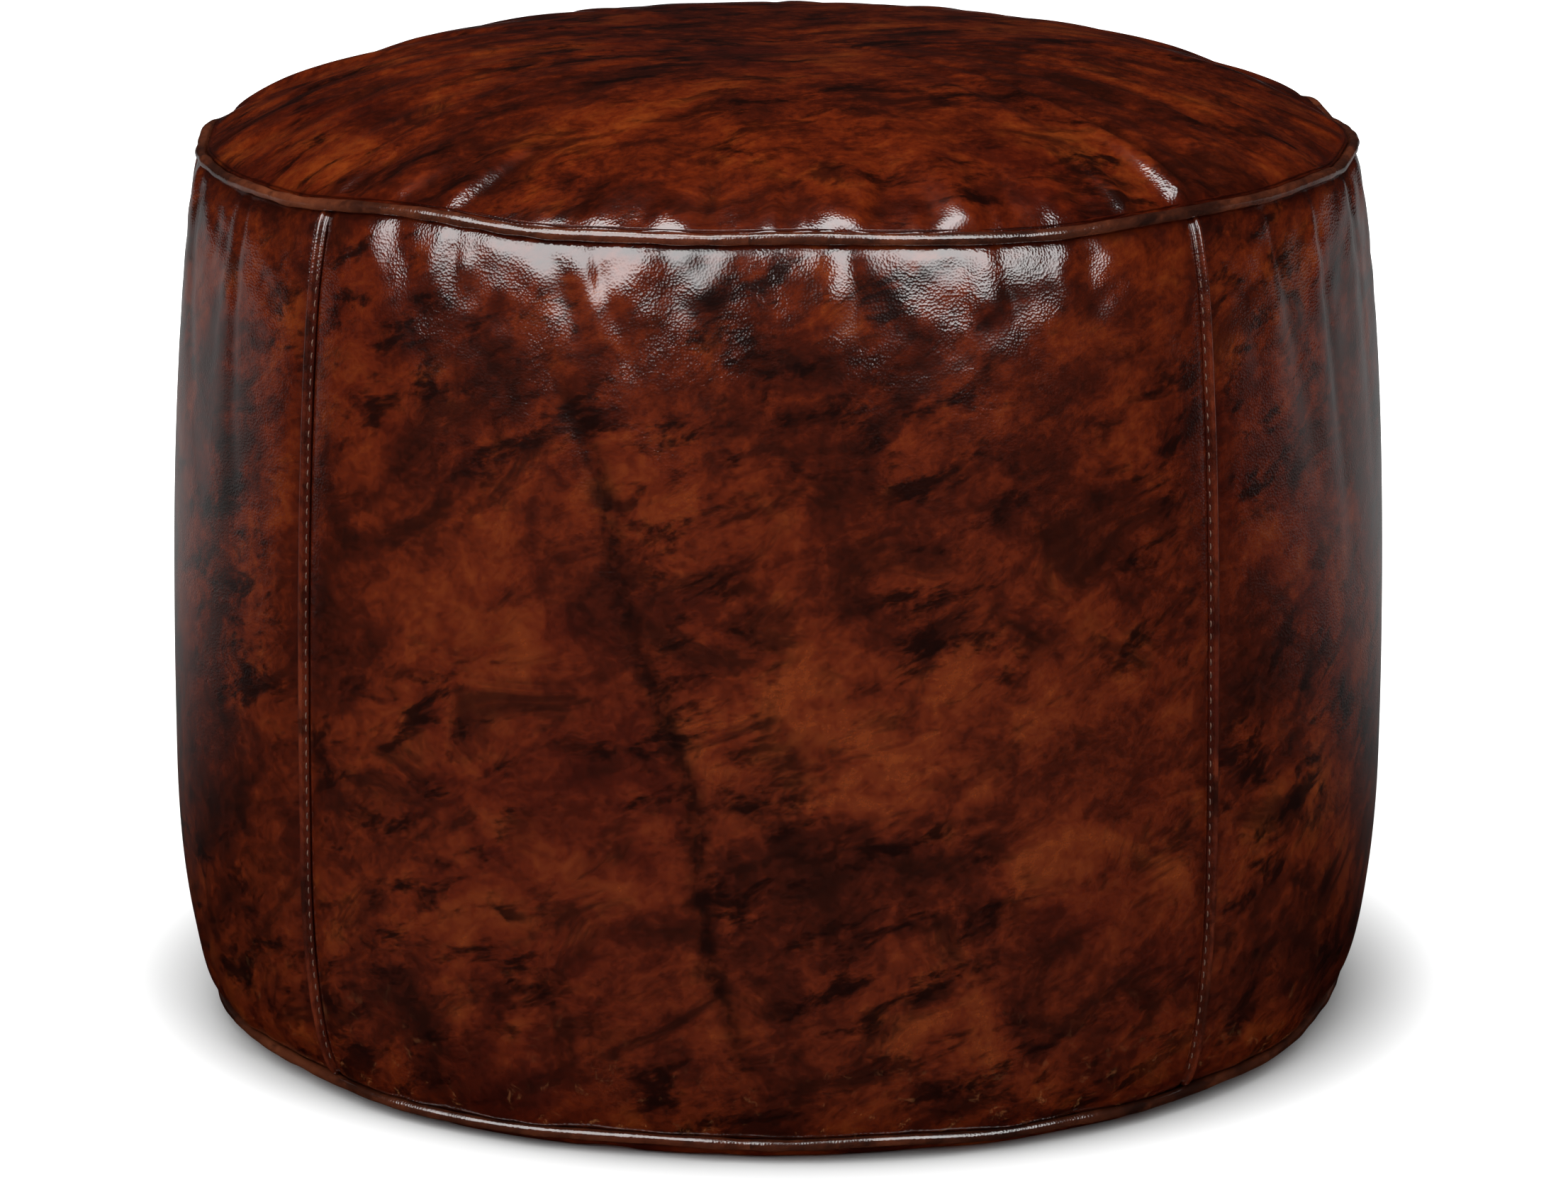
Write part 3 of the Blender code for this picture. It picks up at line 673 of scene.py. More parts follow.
# %% [markdown]
# ## Reading the stuffed shape anywhere
#
# The simulation runs on a fairly open grid to stay quick. The leather that is seen needs closer
# points, mostly near the seams. A smooth curve through the four nearest rows and columns gives any
# point in between, and the fine folds are added on top of it.

# %% Read a skin between its points
def curve_weights(part):
    """Weights of the four points round a place, for the smooth curve that goes through all of them."""
    return np.stack(
        [
            ((2 - part) * part - 1) * part / 2,
            ((3 * part - 5) * part * part + 2) / 2,
            ((4 - 3 * part) * part + 1) * part / 2,
            (part - 1) * part * part / 2,
        ],
        -1,
    )


def read_skin(skin, turn, share):
    """The skin at these turns (columns) and at these shares of its rows from first to last."""
    rows, columns = skin.shape[:2]
    across = (turn / FULL_TURN * columns) % columns
    left = np.floor(across).astype(int)
    weights = curve_weights(across - left)
    wide = sum(weights[:, k, None] * skin[:, (left + k - 1) % columns] for k in range(4))
    up = np.clip(share * (rows - 1), 0, rows - 1)
    low = np.minimum(np.floor(up).astype(int), rows - 2)
    weights = curve_weights(up - low)
    return sum(
        weights[:, k, None, None] * wide[np.clip(low + k - 1, 0, rows - 1)] for k in range(4)
    )


def stations(length, fine, coarse, zone, both=True):
    """Places along a length, fine steps apart at its start (and end), and coarse past the zone."""
    place = np.linspace(0, length, LINE_POINTS)
    edge = np.minimum(place, length - place) if both else place
    step = fine + (coarse - fine) * np.clip(edge / zone, 0, 1) ** 0.7
    count = running(np.diff(place) / ((step[1:] + step[:-1]) / 2))
    return np.interp(np.linspace(0, count[-1], int(round(count[-1])) + 1), count, place)


def radial(turn):
    """The level direction straight out from the middle at each turn."""
    return np.stack([np.sin(turn), -np.cos(turn), np.zeros_like(turn)], -1)


FLANGE = np.array([0.0090, 0.0055, 0.0025, 0.0008])  # leather turned in past a seam, inmost first
print("turned in by", FLANGE[0])

# %% [markdown]
# ## The four side panels
#
# Each panel is a rectangle of leather that runs from one upright seam to the next. Its four edges are
# turned in. Beside an upright seam the leather dips, and the dip is steeper on the side of the front
# or back panel, where the stitches show. A long, soft crease left from folding runs down the front.

# %% Make the side panels
SEAM_NEAR = 0.0024  # where a panel's edge turns in, on the stitched side of a seam
SEAM_FAR = 0.0021
WALL_MIDDLE = 0.27  # radius that turns angles into lengths along the wall
FOLD_DEPTH = 0.0016  # a valley this deep gets the full painted shade in its colour
wall_rows = stations(WALL_LENGTH, 0.0012, 0.0027, 0.030)


def long_crease(turn, run):
    """How close each point is to the long crease, from 0 to 1: it leaves the top 21 degrees left of
    the middle and bends down towards the middle of the base."""
    share = np.clip(run / WALL_LENGTH, 0, 1)
    middle = np.radians(-21.0 * share**1.6 - 0.6 + 0.7 * np.sin(share * 19))
    away = away_from(turn, middle)
    width = 0.0035 + 0.003 * share
    fade = np.clip((share - 0.05) / 0.15, 0, 1) * np.clip((0.93 - share) / 0.12, 0, 1)
    return np.exp(-((away * WALL_MIDDLE / width) ** 2)) * fade


def seam_dip(away):
    """How far the leather dips beside an upright seam: a steep step at it and a wide, shallow one."""
    return 0.0015 * np.exp(-away / 0.0016) + 0.0007 * np.exp(-((away / 0.010) ** 2))


def side_panel(name, start, stitched_at_start):
    """The panel from one seam to the next: skin, plus folds along the way out, minus the dips at its
    edges, with its edges turned in level at the rims and straight in at the upright seams."""
    first, last = (SEAM_NEAR, SEAM_FAR) if stitched_at_start else (SEAM_FAR, SEAM_NEAR)
    width = WALL_MIDDLE * np.pi / 2 - first - last
    along = first + stations(width, 0.0008, 0.0027, 0.012)
    depth = np.concatenate([FLANGE * 0.9, np.zeros(len(along)), FLANGE[::-1] * 0.9])
    lean = (FLANGE / FLANGE[0]) ** 0.5 * 0.0013
    along = np.concatenate([along[0] - lean, along, along[-1] + lean[::-1]])
    turn = start + along / WALL_MIDDLE
    run = np.concatenate([np.zeros(len(FLANGE)), wall_rows, np.full(len(FLANGE), WALL_LENGTH)])
    tucked = np.concatenate([FLANGE, np.zeros(len(wall_rows)), FLANGE[::-1]])
    share = run / WALL_LENGTH
    base = read_skin(wall_skin, turn, share)
    up = run[:, None]
    from_top = WALL_LENGTH - up
    detail = folds(turn, from_top, WALL_FOLDS)
    detail += 0.00025 * gathers(turn, from_top, 51, 26, 62, 1.3)
    detail += 0.0006 * gathers(turn, up, 52, 22, 60, 1.0)
    detail += 0.00022 * dents(turn, from_top, 53, 0.060)
    crease = long_crease(turn, up)
    detail = detail - 0.0011 * crease
    from_start = np.clip(along - first, 0, None)
    from_end = np.clip(along[-1] - lean[0] - along, 0, None)
    near_share, far_share = (1.0, 0.7) if stitched_at_start else (0.7, 1.0)
    dip = near_share * seam_dip(from_start) + far_share * seam_dip(from_end)
    level = np.clip(np.minimum(up, from_top) / 0.012, 0, 1)
    calm = np.clip(np.minimum(from_start, from_end) / 0.012, 0.15, 1)
    out = outward_open(base)
    points = base + out * (detail * calm - dip * (0.35 + 0.65 * level))[..., None]
    points -= radial(turn)[None] * (depth[None, :] + tucked[:, None])[..., None]
    map_up = up - (tucked * np.sign(0.5 - share))[:, None]
    uv = np.stack([np.broadcast_to(way, detail.shape) for way in (turn * WALL_MIDDLE, map_up)], -1)
    closest = np.minimum(np.minimum(from_start, from_end)[None], np.minimum(up, from_top))
    fields = {
        "seam": np.exp(-closest / 0.006),
        # crease is painted shade: full in valleys FOLD_DEPTH deep and strong along the long crease
        "crease": np.clip(np.clip(-detail / FOLD_DEPTH, 0, 1) * 0.8 + crease * 0.7, 0, 1),
        "low": np.exp(-np.broadcast_to(up, detail.shape) / 0.020),
    }
    return thicken(grid_piece(name, points, uv, fields=fields), LEATHER)


def outward_open(grid):
    """The way out of a grid that doesn't close on itself."""
    out = np.cross(np.gradient(grid, axis=1), np.gradient(grid, axis=0))
    length = np.linalg.norm(out, axis=-1, keepdims=True)
    return np.where(length > 1e-12, out / np.maximum(length, 1e-12), unit(grid * (1, 1, 0)))


# %% [markdown]
# ## Antique leather
#
# The hides are dyed by hand and then polished. The dye is uneven: orange brown where it is thin,
# deep red brown in clouds, and nearly black in short dabs that rise to the right. A clear polish lies
# on top, so the shader has a coat. The grain is a net of cells a little over a millimetre wide. It
# is far finer than any face, so it is a bump, while every fold and seam is real geometry.

# %% The leather finish
def dimmed(tone, *shares):
    """A tone with its red, green and blue each cut to a share of what it was."""
    return (*[level * share for level, share in zip(tone, shares)], 1)


def leather(name, tones, dabs, gloss, shift=0.0):
    """Dyed and polished leather. tones are four colours from dark to light, dabs is how much of it is
    dabbed with black, gloss is the roughness of the leather under its polish."""
    material, tree, shader = finish_named(name)
    shifted = {"Vector": place_of(tree, mapped=True), "Location": (shift, shift, 0)}
    place = add(tree, "Mapping", shifted).outputs[0]
    lean = {"Vector": place, "Rotation": (0, 0, 0.40), "Scale": (1.45, 0.9, 1)}
    leaning = add(tree, "Mapping", lean, vector_type="TEXTURE").outputs[0]
    cloud = noise(tree, place, 13, 5, 0.6, 0.4)
    smoke = noise(tree, leaning, 56, 7, 0.72, 0.3)
    speck = noise(tree, place, 210, 5, 0.75)
    tone = maths(tree, "MULTIPLY_ADD", cloud, 0.52, -0.05)
    tone = maths(tree, "ADD", tone, maths(tree, "MULTIPLY", smoke, 0.38))
    tone = maths(tree, "ADD", tone, maths(tree, "MULTIPLY", speck, 0.20))
    ramp = add(tree, "ValToRGB", {"Fac": tone})
    for stop, colour, position in zip(range(4), tones, (0.355, 0.46, 0.54, 0.68)):
        if stop < 2:
            element = ramp.color_ramp.elements[stop]
        else:
            element = ramp.color_ramp.elements.new(position)
        element.position = position
        element.color = (*colour, 1)
    colour = ramp.outputs["Color"]
    wine = between(tree, noise(tree, place, 6.5, 3, 0.5, 0.3), 0.50, 0.70, 0.0, 0.25)
    colour = mixed(tree, wine, colour, dimmed(tones[1], 1.15, 0.55, 0.7))
    shade = between(tree, noise(tree, leaning, 27, 7, 0.68, 0.5), 0.50, 0.68, 0.0, 0.80)
    colour = mixed(tree, shade, colour, (*tones[0], 1))
    lean = {"Vector": place, "Rotation": (0, 0, 0.34), "Scale": (1.8, 0.85, 1)}
    dab_place = add(tree, "Mapping", lean, vector_type="TEXTURE")
    dab = between(tree, noise(tree, dab_place.outputs[0], 50, 6, 0.70, 0.2), 0.48, 0.66)
    where = between(tree, noise(tree, place, 10.0, 2, 0.5), 0.34, 0.56, 0.15, 1.0)
    dark = maths(tree, "MULTIPLY", maths(tree, "MULTIPLY", dab, where), dabs)
    black = dimmed(tones[0], 0.35, 0.4, 0.5)
    colour = mixed(tree, dark, colour, black)
    fields = [add(tree, "Attribute", attribute_name=field) for field in ("crease", "seam", "low")]
    crease, seam, low = [field.outputs["Fac"] for field in fields]
    # Painted shade: the colour darkens towards black in fold valleys, along the long crease and in the base's
    # grooves, by the crease field broken up by noise.
    broken = between(tree, noise(tree, place, 70, 4, 0.7), 0.36, 0.60)
    painted_crease_shade = maths(tree, "MULTIPLY", crease, maths(tree, "MULTIPLY_ADD", broken, 0.50, 0.38), clamp=True)
    colour = mixed(tree, painted_crease_shade, colour, black)
    edge = maths(tree, "MULTIPLY", seam, 0.50)
    colour = mixed(tree, edge, colour, dimmed(tones[1], 0.6, 0.45, 0.5))
    rub = between(tree, noise(tree, place, 95, 5, 0.75, 0.4), 0.60, 0.72)
    rub = maths(tree, "MULTIPLY", rub, maths(tree, "MULTIPLY", low, 0.75))
    colour = mixed(tree, rub, colour, (0.17, 0.065, 0.022, 1))
    scuffs = between(tree, noise(tree, place, 55, 6, 0.8, 1.2), 0.72, 0.85, 0.0, 0.12)
    colour = mixed(tree, scuffs, colour, (0.15, 0.045, 0.016, 1))
    rough = between(tree, noise(tree, place, 30, 4, 0.6), 0.3, 0.7, gloss - 0.07, gloss + 0.10)
    rough = maths(tree, "ADD", rough, maths(tree, "MULTIPLY", rub, 0.2))
    fill(tree, shader, {"Base Color": colour, "Roughness": rough, "IOR": 1.48, "Specular IOR Level": 0.0})
    fill(tree, shader, {"Coat Weight": 1.0, "Coat Roughness": 0.14, "Coat IOR": 1.75})
    cells = {"Vector": place, "Scale": 800.0, "Randomness": 0.9}
    cells = add(tree, "TexVoronoi", cells, voronoi_dimensions="2D")
    drift = noise(tree, place, 42, 3, 0.5, 0.4)
    bumpy = between(tree, drift, 0.35, 0.62, 0.45, 1.0)
    grain = maths(tree, "MULTIPLY", cells.outputs["Distance"], bumpy)
    fine = bumped(tree, grain, 0.5, 0.00018)
    bent = add(tree, "TexNoise", {"Vector": place, "Scale": 120.0, "Detail": 2.0}, noise_dimensions="2D")
    sway = add(tree, "VectorMath", {0: bent.outputs["Color"], 1: (0.012, 0.012, 0)}, operation="MULTIPLY")
    swayed = add(tree, "VectorMath", {0: place, 1: sway.outputs[0]}, operation="ADD").outputs[0]
    net = {"Vector": swayed, "Scale": 150.0}
    net = add(tree, "TexVoronoi", net, feature="DISTANCE_TO_EDGE", voronoi_dimensions="2D")
    lines = between(tree, net.outputs["Distance"], 0.0, 0.22)
    lines = maths(tree, "MULTIPLY", lines, between(tree, drift, 0.46, 0.62))
    middle = bumped(tree, lines, 0.15, 0.00018, Normal=fine)
    broad = bumped(tree, drift, 0.12, 0.0010, Normal=middle)
    fill(tree, shader, {"Normal": broad, "Coat Normal": broad})
    return material


HIDE_TONES = (
    (0.0075, 0.0012, 0.0005), (0.023, 0.0026, 0.0007), (0.049, 0.0058, 0.0010), (0.090, 0.0160, 0.0022),
)
cover_leather = leather("polished_cover_leather", HIDE_TONES, 0.92, 0.46)
WELT_TONES = (
    (0.010, 0.0030, 0.0018), (0.026, 0.0065, 0.0030), (0.046, 0.0115, 0.0048), (0.075, 0.0210, 0.0085),
)
welt_leather = leather("polished_piping_leather", WELT_TONES, 0.5, 0.38, 3.1)
STRIP_TONES = (
    (0.009, 0.0018, 0.0010), (0.030, 0.0042, 0.0016), (0.056, 0.0085, 0.0026), (0.082, 0.0150, 0.0046),
)
strip_leather = leather("seam_strip_leather", STRIP_TONES, 0.6, 0.36, 5.3)
print("leathers:", cover_leather.name, welt_leather.name, strip_leather.name)

# %% Put the side panels in place
for number, side in enumerate(SIDES):
    panel = side_panel(f"cover_side_{side}", SEAMS[number], side in ("front", "back"))
    settle(panel, cover_leather, "cover_leather", "cover", f"side_panel_{side}")
    print(panel.name, len(panel.data.polygons), "faces")

# %% [markdown]
# ## The crown
#
# The top is one disc of leather, eased onto its seam. Near the piping it has short, wide humps in
# front and long, narrow folds at the sides, where the disc was pulled hardest. The folds are a list of
# numbers, so each can be moved on its own.

# %% Make the crown
CROWN_COLUMNS = 520


def crown_cover():
    """The disc from its turned-in edge over the rim to the middle: the skin plus folds along the way
    out. Its map is the disc laid flat, so lengths from the middle are lengths of leather."""
    inward = stations(CROWN_LENGTH * 0.995, 0.0014, 0.0036, 0.075, both=False)
    turn = evenly_round(CROWN_COLUMNS)
    run = np.concatenate([np.zeros(len(FLANGE)), inward])
    tucked = np.concatenate([FLANGE, np.zeros(len(inward))])
    base = read_skin(crown_skin, turn, run / CROWN_LENGTH)
    out = outward_open(base)
    out[:, [0, -1]] = out[:, [1, -2]]
    run = run[:, None]
    fade = np.clip(1 - run / CROWN_LENGTH, 0, 1)
    detail = folds(turn, run, CROWN_FOLDS)
    detail += 0.0008 * gathers(turn, run, 61, 28, 74, 1.5) * fade
    detail += 0.00018 * dents(turn, run, 62, 0.050) * fade
    points = base + out * detail[..., None]
    points -= radial(turn)[None] * tucked[:, None, None]
    closed = np.append(turn, FULL_TURN)
    flat = CROWN_LENGTH - run + tucked[:, None]
    uv = np.stack([flat * np.sin(closed), 2 - flat * np.cos(closed)], -1)
    fields = {
        "seam": np.exp(-np.broadcast_to(run, detail.shape) / 0.005),
        # crease is painted shade in the fold valleys, full at FOLD_DEPTH deep
        "crease": np.clip(-detail / FOLD_DEPTH, 0, 1),
    }
    middle = points[-1].mean(axis=0)
    piece = grid_piece("cover_top", points, uv, ring=True, pole=middle, fields=fields)
    return thicken(piece, LEATHER)


top_cover = settle(crown_cover(), cover_leather, "cover_leather", "cover", "top_panel")
print(top_cover.name, len(top_cover.data.polygons), "faces")

# %% [markdown]
# ## Piping
#
# Piping is a strip of leather folded round a cord. Its two edges lie together and are sewn into the
# seam. Carried along a path, the section of that strip makes the sleeve, and a three-lobed section
# that turns as it goes makes the cord inside it.

# %% Carry a section along a path
def strip_section(line, thickness):
    """The closed outline of a strip of even thickness whose middle follows this open line."""
    step = np.gradient(line, axis=0)
    side = unit(np.stack([step[:, 1], -step[:, 0]], -1))
    return np.concatenate([line + side * thickness / 2, (line - side * thickness / 2)[::-1]])


def carried(section, centre, first, second):
    """Section points times two directions, at each place of the path: (section, path, 3)."""
    section = section if section.ndim == 3 else section[:, None]
    section = np.broadcast_to(section, (len(section), len(centre), 2))
    return centre + section[..., :1] * first + section[..., 1:] * second


PIPING_COLUMNS = 460
SLEEVE_LEATHER = 0.0009
bend = np.radians(np.linspace(-158, 158, 19))
round_part = (TUBE - SLEEVE_LEATHER / 2) * circle(bend)
stem = np.array([[-0.0095, 0.00052], [-0.0060, 0.00052], [-0.0032, 0.00056]])
sleeve_line = np.concatenate([stem * (1, -1), round_part, stem[::-1]])
sleeve_section = strip_section(sleeve_line, SLEEVE_LEATHER)
sleeve_round = running(np.linalg.norm(np.diff(sleeve_section, axis=0), axis=-1))
sleeve_round = np.append(sleeve_round, sleeve_round[-1] + SLEEVE_LEATHER)
piping_turns = evenly_round(PIPING_COLUMNS)


def piping(name, radius, height, stray, node):
    """A sleeve round its ring, and the cord inside it."""
    out, up = stray(piping_turns)
    centre = radial(piping_turns) * (radius + out)[:, None]
    centre[:, 2] = height + up
    outwards, upwards = radial(piping_turns), np.array([0.0, 0.0, 1.0])
    swell = 1 + 0.05 * waves(piping_turns, len(name), 20, 90, 0.3)
    swell = np.where(sleeve_section[:, None, :1] > -0.003, swell[None, :, None], 1)
    section = sleeve_section[:, None] * swell
    points = carried(section, centre, outwards, upwards)
    round_run = np.append(piping_turns, FULL_TURN) * radius
    uv = flat_map(round_run, sleeve_round)
    fields = {"seam": np.clip((-sleeve_section[:, :1] - 0.0012) / 0.0012, 0, 1)}
    sleeve = grid_piece(name, points, uv, ring=True, tube=True, fields=fields)
    settle(sleeve, welt_leather, "welt_leather", "cover", f"{node}_sleeve")
    around = evenly_round(18)
    lobes = 0.00135 + 0.00013 * np.cos(3 * (around[:, None] - piping_turns * 150))
    section = lobes[..., None] * circle(around)[:, None]
    cord = carried(section, centre, outwards, upwards)
    uv = flat_map(round_run, np.append(around, FULL_TURN) * 0.0015)
    return grid_piece(f"{name}_cord", cord, uv, ring=True, tube=True)


cords = [
    (piping("top_piping", TOP_RING, TOP_HEIGHT, top_stray, "top_welt"), "top_welt_cord"),
    (piping("base_piping", BASE_RING, BASE_HEIGHT, base_stray, "base_welt"), "base_welt_cord"),
]
print("piping", len(sleeve_section), "points round its section,", PIPING_COLUMNS, "along it")

# %% [markdown]
# ## Upright seams
#
# A folded strip of leather is sewn between each pair of side panels. It shows as a rounded ridge with
# a narrow ledge beside it, where a row of small stitches lies. The stitched ledge is on the side of
# the front panel, and of the back panel at the rear.

# %% Make the strips and their stitches
RIDGE_ROWS = 150
ridge_bend = np.radians(np.linspace(-35, 200, 11))
ridge = np.stack([0.0009 + 0.00135 * np.cos(ridge_bend), 0.0002 + 0.00125 * np.sin(ridge_bend)], -1)
ledge = np.array([[-0.0008, -0.0007], [-0.0016, -0.00085], [-0.0021, -0.0008], [-0.0022, -0.0016]])
root = np.array(
    [[-0.0007, -0.0035], [-0.0007, -0.0085], [0.0007, -0.0085], [0.0007, -0.0035], [0.0018, -0.0012]]
)
seam_section = np.concatenate([ridge, ledge, root])


def seam_path(turn):
    """The wall's own line at a seam, from just above the base piping to just under the top one, with
    the directions to the right, up and outwards along it."""
    share = np.linspace(0.008, 0.994, RIDGE_ROWS)
    line = read_skin(wall_skin, np.array([turn - 0.002, turn, turn + 0.002]), share)
    centre = line[:, 1]
    right = unit(line[:, 2] - line[:, 0])
    up = np.gradient(centre, axis=0)
    return centre, right, unit(up), unit(np.cross(right, up))


def read_at(line, at):
    """A line of vectors, read at places that may lie between its points."""
    return np.stack([np.interp(at, np.arange(len(line)), line[:, k]) for k in range(3)], -1)


def stitch_row(name, centre, along, out, length, radius):
    """Many small stitches in one mesh: each is a six-sided spindle, arched away from the leather."""
    around = evenly_round(6)
    place = np.array([-0.5, -0.3, 0.0, 0.3, 0.5])
    girth = np.array([0.35, 0.9, 1.0, 0.9, 0.35])
    arch = radius * 0.9 * (1 - (2 * place) ** 2)
    across = np.cross(along, out)
    ring = circle(around)
    points = (
        centre[:, None, None]
        + (place * length)[None, :, None, None] * along[:, None, None]
        + (arch[:, None] + radius * girth[:, None] * ring[:, 0])[None, :, :, None] * out[:, None, None]
        + (radius * girth[:, None] * ring[:, 1])[None, :, :, None] * across[:, None, None]
    )
    one = np.arange(30).reshape(5, 6)
    beside = np.roll(one, -1, axis=1)
    sides = np.stack([one[:-1], beside[:-1], beside[1:], one[1:]], -1).reshape(-1, 4)
    ends = [one[0][::-1].tolist(), one[-1].tolist()]
    first = np.arange(len(centre)) * 30
    faces = (sides[None] + first[:, None, None]).reshape(-1, 4).tolist()
    faces += [[v + start for v in end] for start in first.tolist() for end in ends]
    mesh = bpy.data.meshes.new(name)
    mesh.from_pydata(points.reshape(-1, 3), [], faces)
    mesh.shade_smooth()
    piece = bpy.data.objects.new(name, mesh)
    scene.collection.objects.link(piece)
    return piece


def thread_finish():
    """Waxed thread: pale brown, with a fine twist across its length."""
    material, tree, shader = finish_named("waxed_thread")
    place = place_of(tree)
    shade = between(tree, noise(tree, place, 900, 2, 0.5, 0.0, flat=False), 0.35, 0.65)
    colour = mixed(tree, shade, (0.035, 0.014, 0.008, 1), (0.095, 0.044, 0.024, 1))
    twist = {"Vector": place, "Scale": 900.0, "Distortion": 1.0}
    twist = add(tree, "TexWave", twist, bands_direction="DIAGONAL").outputs["Fac"]
    normal = bumped(tree, twist, 0.5, 0.0001)
    fill(tree, shader, {"Base Color": colour, "Roughness": 0.6, "Normal": normal})
    return material


thread = thread_finish()
STITCH_STEP = 0.0056
CORNERS = ("front_right", "back_right", "back_left", "front_left")
for seam, where, side in zip(SEAMS, CORNERS, (1, -1, 1, -1)):
    centre, right, up, out = seam_path(seam)
    sink = 0.0004 * np.exp(-np.linspace(0, WALL_LENGTH, RIDGE_ROWS) / 0.02)[:, None]
    centre = centre - out * sink
    section = seam_section * (side, 1)
    section = section if side > 0 else section[::-1]
    points = carried(section, centre, right, out)
    run = np.linspace(0, WALL_LENGTH, RIDGE_ROWS)
    round_section = running(np.linalg.norm(np.diff(section, axis=0), axis=-1))
    uv = flat_map(run + seam, np.append(round_section, 0.04))
    fields = {"seam": np.clip((0.0002 - section[:, 1:]) / 0.0008, 0, 1)}
    strip = grid_piece(f"seam_ridge_{where}", points, uv, tube=True, caps=True, fields=fields)
    settle(strip, strip_leather, "strip_leather", "cover", f"seam_strip_{where}")
    count = int(WALL_LENGTH * 0.94 / STITCH_STEP)
    at = np.linspace(0.03, 0.97, count) * (RIDGE_ROWS - 1)
    centre, right, up, out = [read_at(line, at) for line in (centre, right, up, out)]
    ledge_place = centre - right * 0.00145 * side - out * 0.0008
    row = stitch_row(f"stitches_{where}", ledge_place, up, out, 0.0030, 0.00032)
    settle(row, thread, "cord_cotton", "cover")
print("four strips with", count, "stitches each")

# %% [markdown]
# ## The underside
#
# The base is two half discs of leather. Along the middle they part for the zip, and there each edge
# is folded back inside as a hem and sewn down with a row of stitches on either side of the opening.
# The leather rests flat on the floor and curls up at its rim to meet the piping.

# %% Make the base halves
BASE_LEATHER = 0.0017
SLOT_HALF_LENGTH = 0.19
SLOT_HALF_WIDTH = 0.0070
FLAT_RADIUS = 0.2520
RIM_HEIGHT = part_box("base_panel_front")[1].z


def base_half(name, way):
    """Half a disc on the back (way 1) or front (way -1). Columns follow x = radius times the sine of
    an angle; rows go from the rim to the opening. The rim's height is a quarter ellipse, and the hem
    is folded up and back."""
    x = way * (BASE_SEAM - 0.0004) * np.sin(np.radians(np.linspace(-88.5, 88.5, 261)))
    past_slot = (np.abs(x) - SLOT_HALF_LENGTH - 0.001) / 0.0006
    inner = 0.0004 + (SLOT_HALF_WIDTH - 0.0004) / (1 + np.exp(past_slot))
    rim = np.sqrt(BASE_SEAM**2 - x**2)
    share = np.linspace(0, 1, 90)[:, None] ** 1.25
    y = rim + (inner - rim) * share
    radius = np.hypot(x, y)
    curl = np.clip((radius - FLAT_RADIUS) / (BASE_SEAM - FLAT_RADIUS), 0, 1)
    z = RIM_HEIGHT * (1 - np.sqrt(1 - curl**2 * 0.9999))
    turn = np.arctan2(x, -way * y)
    _, up = base_stray(turn)
    z = z + np.clip(up * curl, -0.001, 0.001)
    puckers = 0.0009 * np.clip(waves(turn, 71, 9, 40), 0, 3)
    z = z + puckers * np.clip((radius - 0.20) / 0.05, 0, 1) ** 2 * (1 - curl)
    slack = np.clip(np.sin(x * 31 + 1.0) * np.sin(y * 37 + x * 11) - 0.35, 0, 1)
    z = z + 0.0016 * slack * np.clip((y - 0.03) / 0.03, 0, 1) * np.clip((0.235 - radius) / 0.03, 0, 1)
    beside = (y - inner - 0.0032) / 0.0008
    z = z + 0.0005 * np.exp(-(beside**2))
    tuck = np.array([0.0085, 0.0050, 0.0020])[:, None]
    rim_turn = turn[:1]
    tucked_x = x - tuck * np.sin(rim_turn)
    tucked_y = np.maximum(rim - tuck * np.abs(np.cos(rim_turn)), inner)
    tucked_z = np.broadcast_to(z[0] + 0.0001, tucked_y.shape)
    room = np.clip((rim - inner) * 0.4, 0.0002, 0.0090)
    fold = np.array([[0.0, 0.0010], [0.0002, 0.0030], [0.10, 0.0039], [1.0, 0.0040]])
    hem_y = inner + room * fold[:, :1]
    hem_z = z[-1] + fold[:, 1:]
    hem_x = np.broadcast_to(x, hem_y.shape)
    grid_x = np.concatenate([tucked_x, np.broadcast_to(x, y.shape), hem_x])
    grid_y = way * np.concatenate([tucked_y, y, hem_y])
    grid_z = np.concatenate([tucked_z, np.maximum(z, 0), hem_z])
    points = np.stack([grid_x, grid_y, grid_z], -1)
    # crease is painted shade along the sunk stitch lines beside the opening and where the rim curls up under
    # the piping
    crease = np.zeros(grid_x.shape)
    crease[3:-4] = np.clip(0.9 * np.exp(-(beside**2)) + curl * 0.4, 0, 1)
    fields = {"crease": crease, "seam": np.exp(-np.abs(grid_y) / 0.004)}
    uv = points[..., :2] + (4.0 + way, 0)
    return thicken(grid_piece(name, points, uv, fields=fields), BASE_LEATHER)


for way, side in ((1, "back"), (-1, "front")):
    half = base_half(f"base_cover_{side}", way)
    settle(half, cover_leather, "cover_leather", "cover", f"base_panel_{side}")
    along_slot = np.arange(-0.188, 0.1881, 0.0042)
    centre = np.array([[x, way * 0.0102, 0.00042] for x in along_slot])
    ahead = np.broadcast_to([1.0, 0.0, 0.0], centre.shape)
    down = np.broadcast_to([0.0, 0.0, -1.0], centre.shape)
    row = stitch_row(f"stitches_base_{side}", centre, ahead, down, 0.0030, 0.00022)
    settle(row, thread, "cord_cotton", "cover")
print("base halves with", len(along_slot), "stitches each")

# %% [markdown]
# ## Zip
#
# A nylon zip is two spirals of stiff thread sewn to cotton tapes. Each spiral is one fine tube carried
# round a helix, so it stays light however many turns it has. The stops, the slider and its pull keep
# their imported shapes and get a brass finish, because they are what moves and must fit.

# %% Wind the two spirals
COIL_PITCH = 0.0015
COIL_STEPS = 10


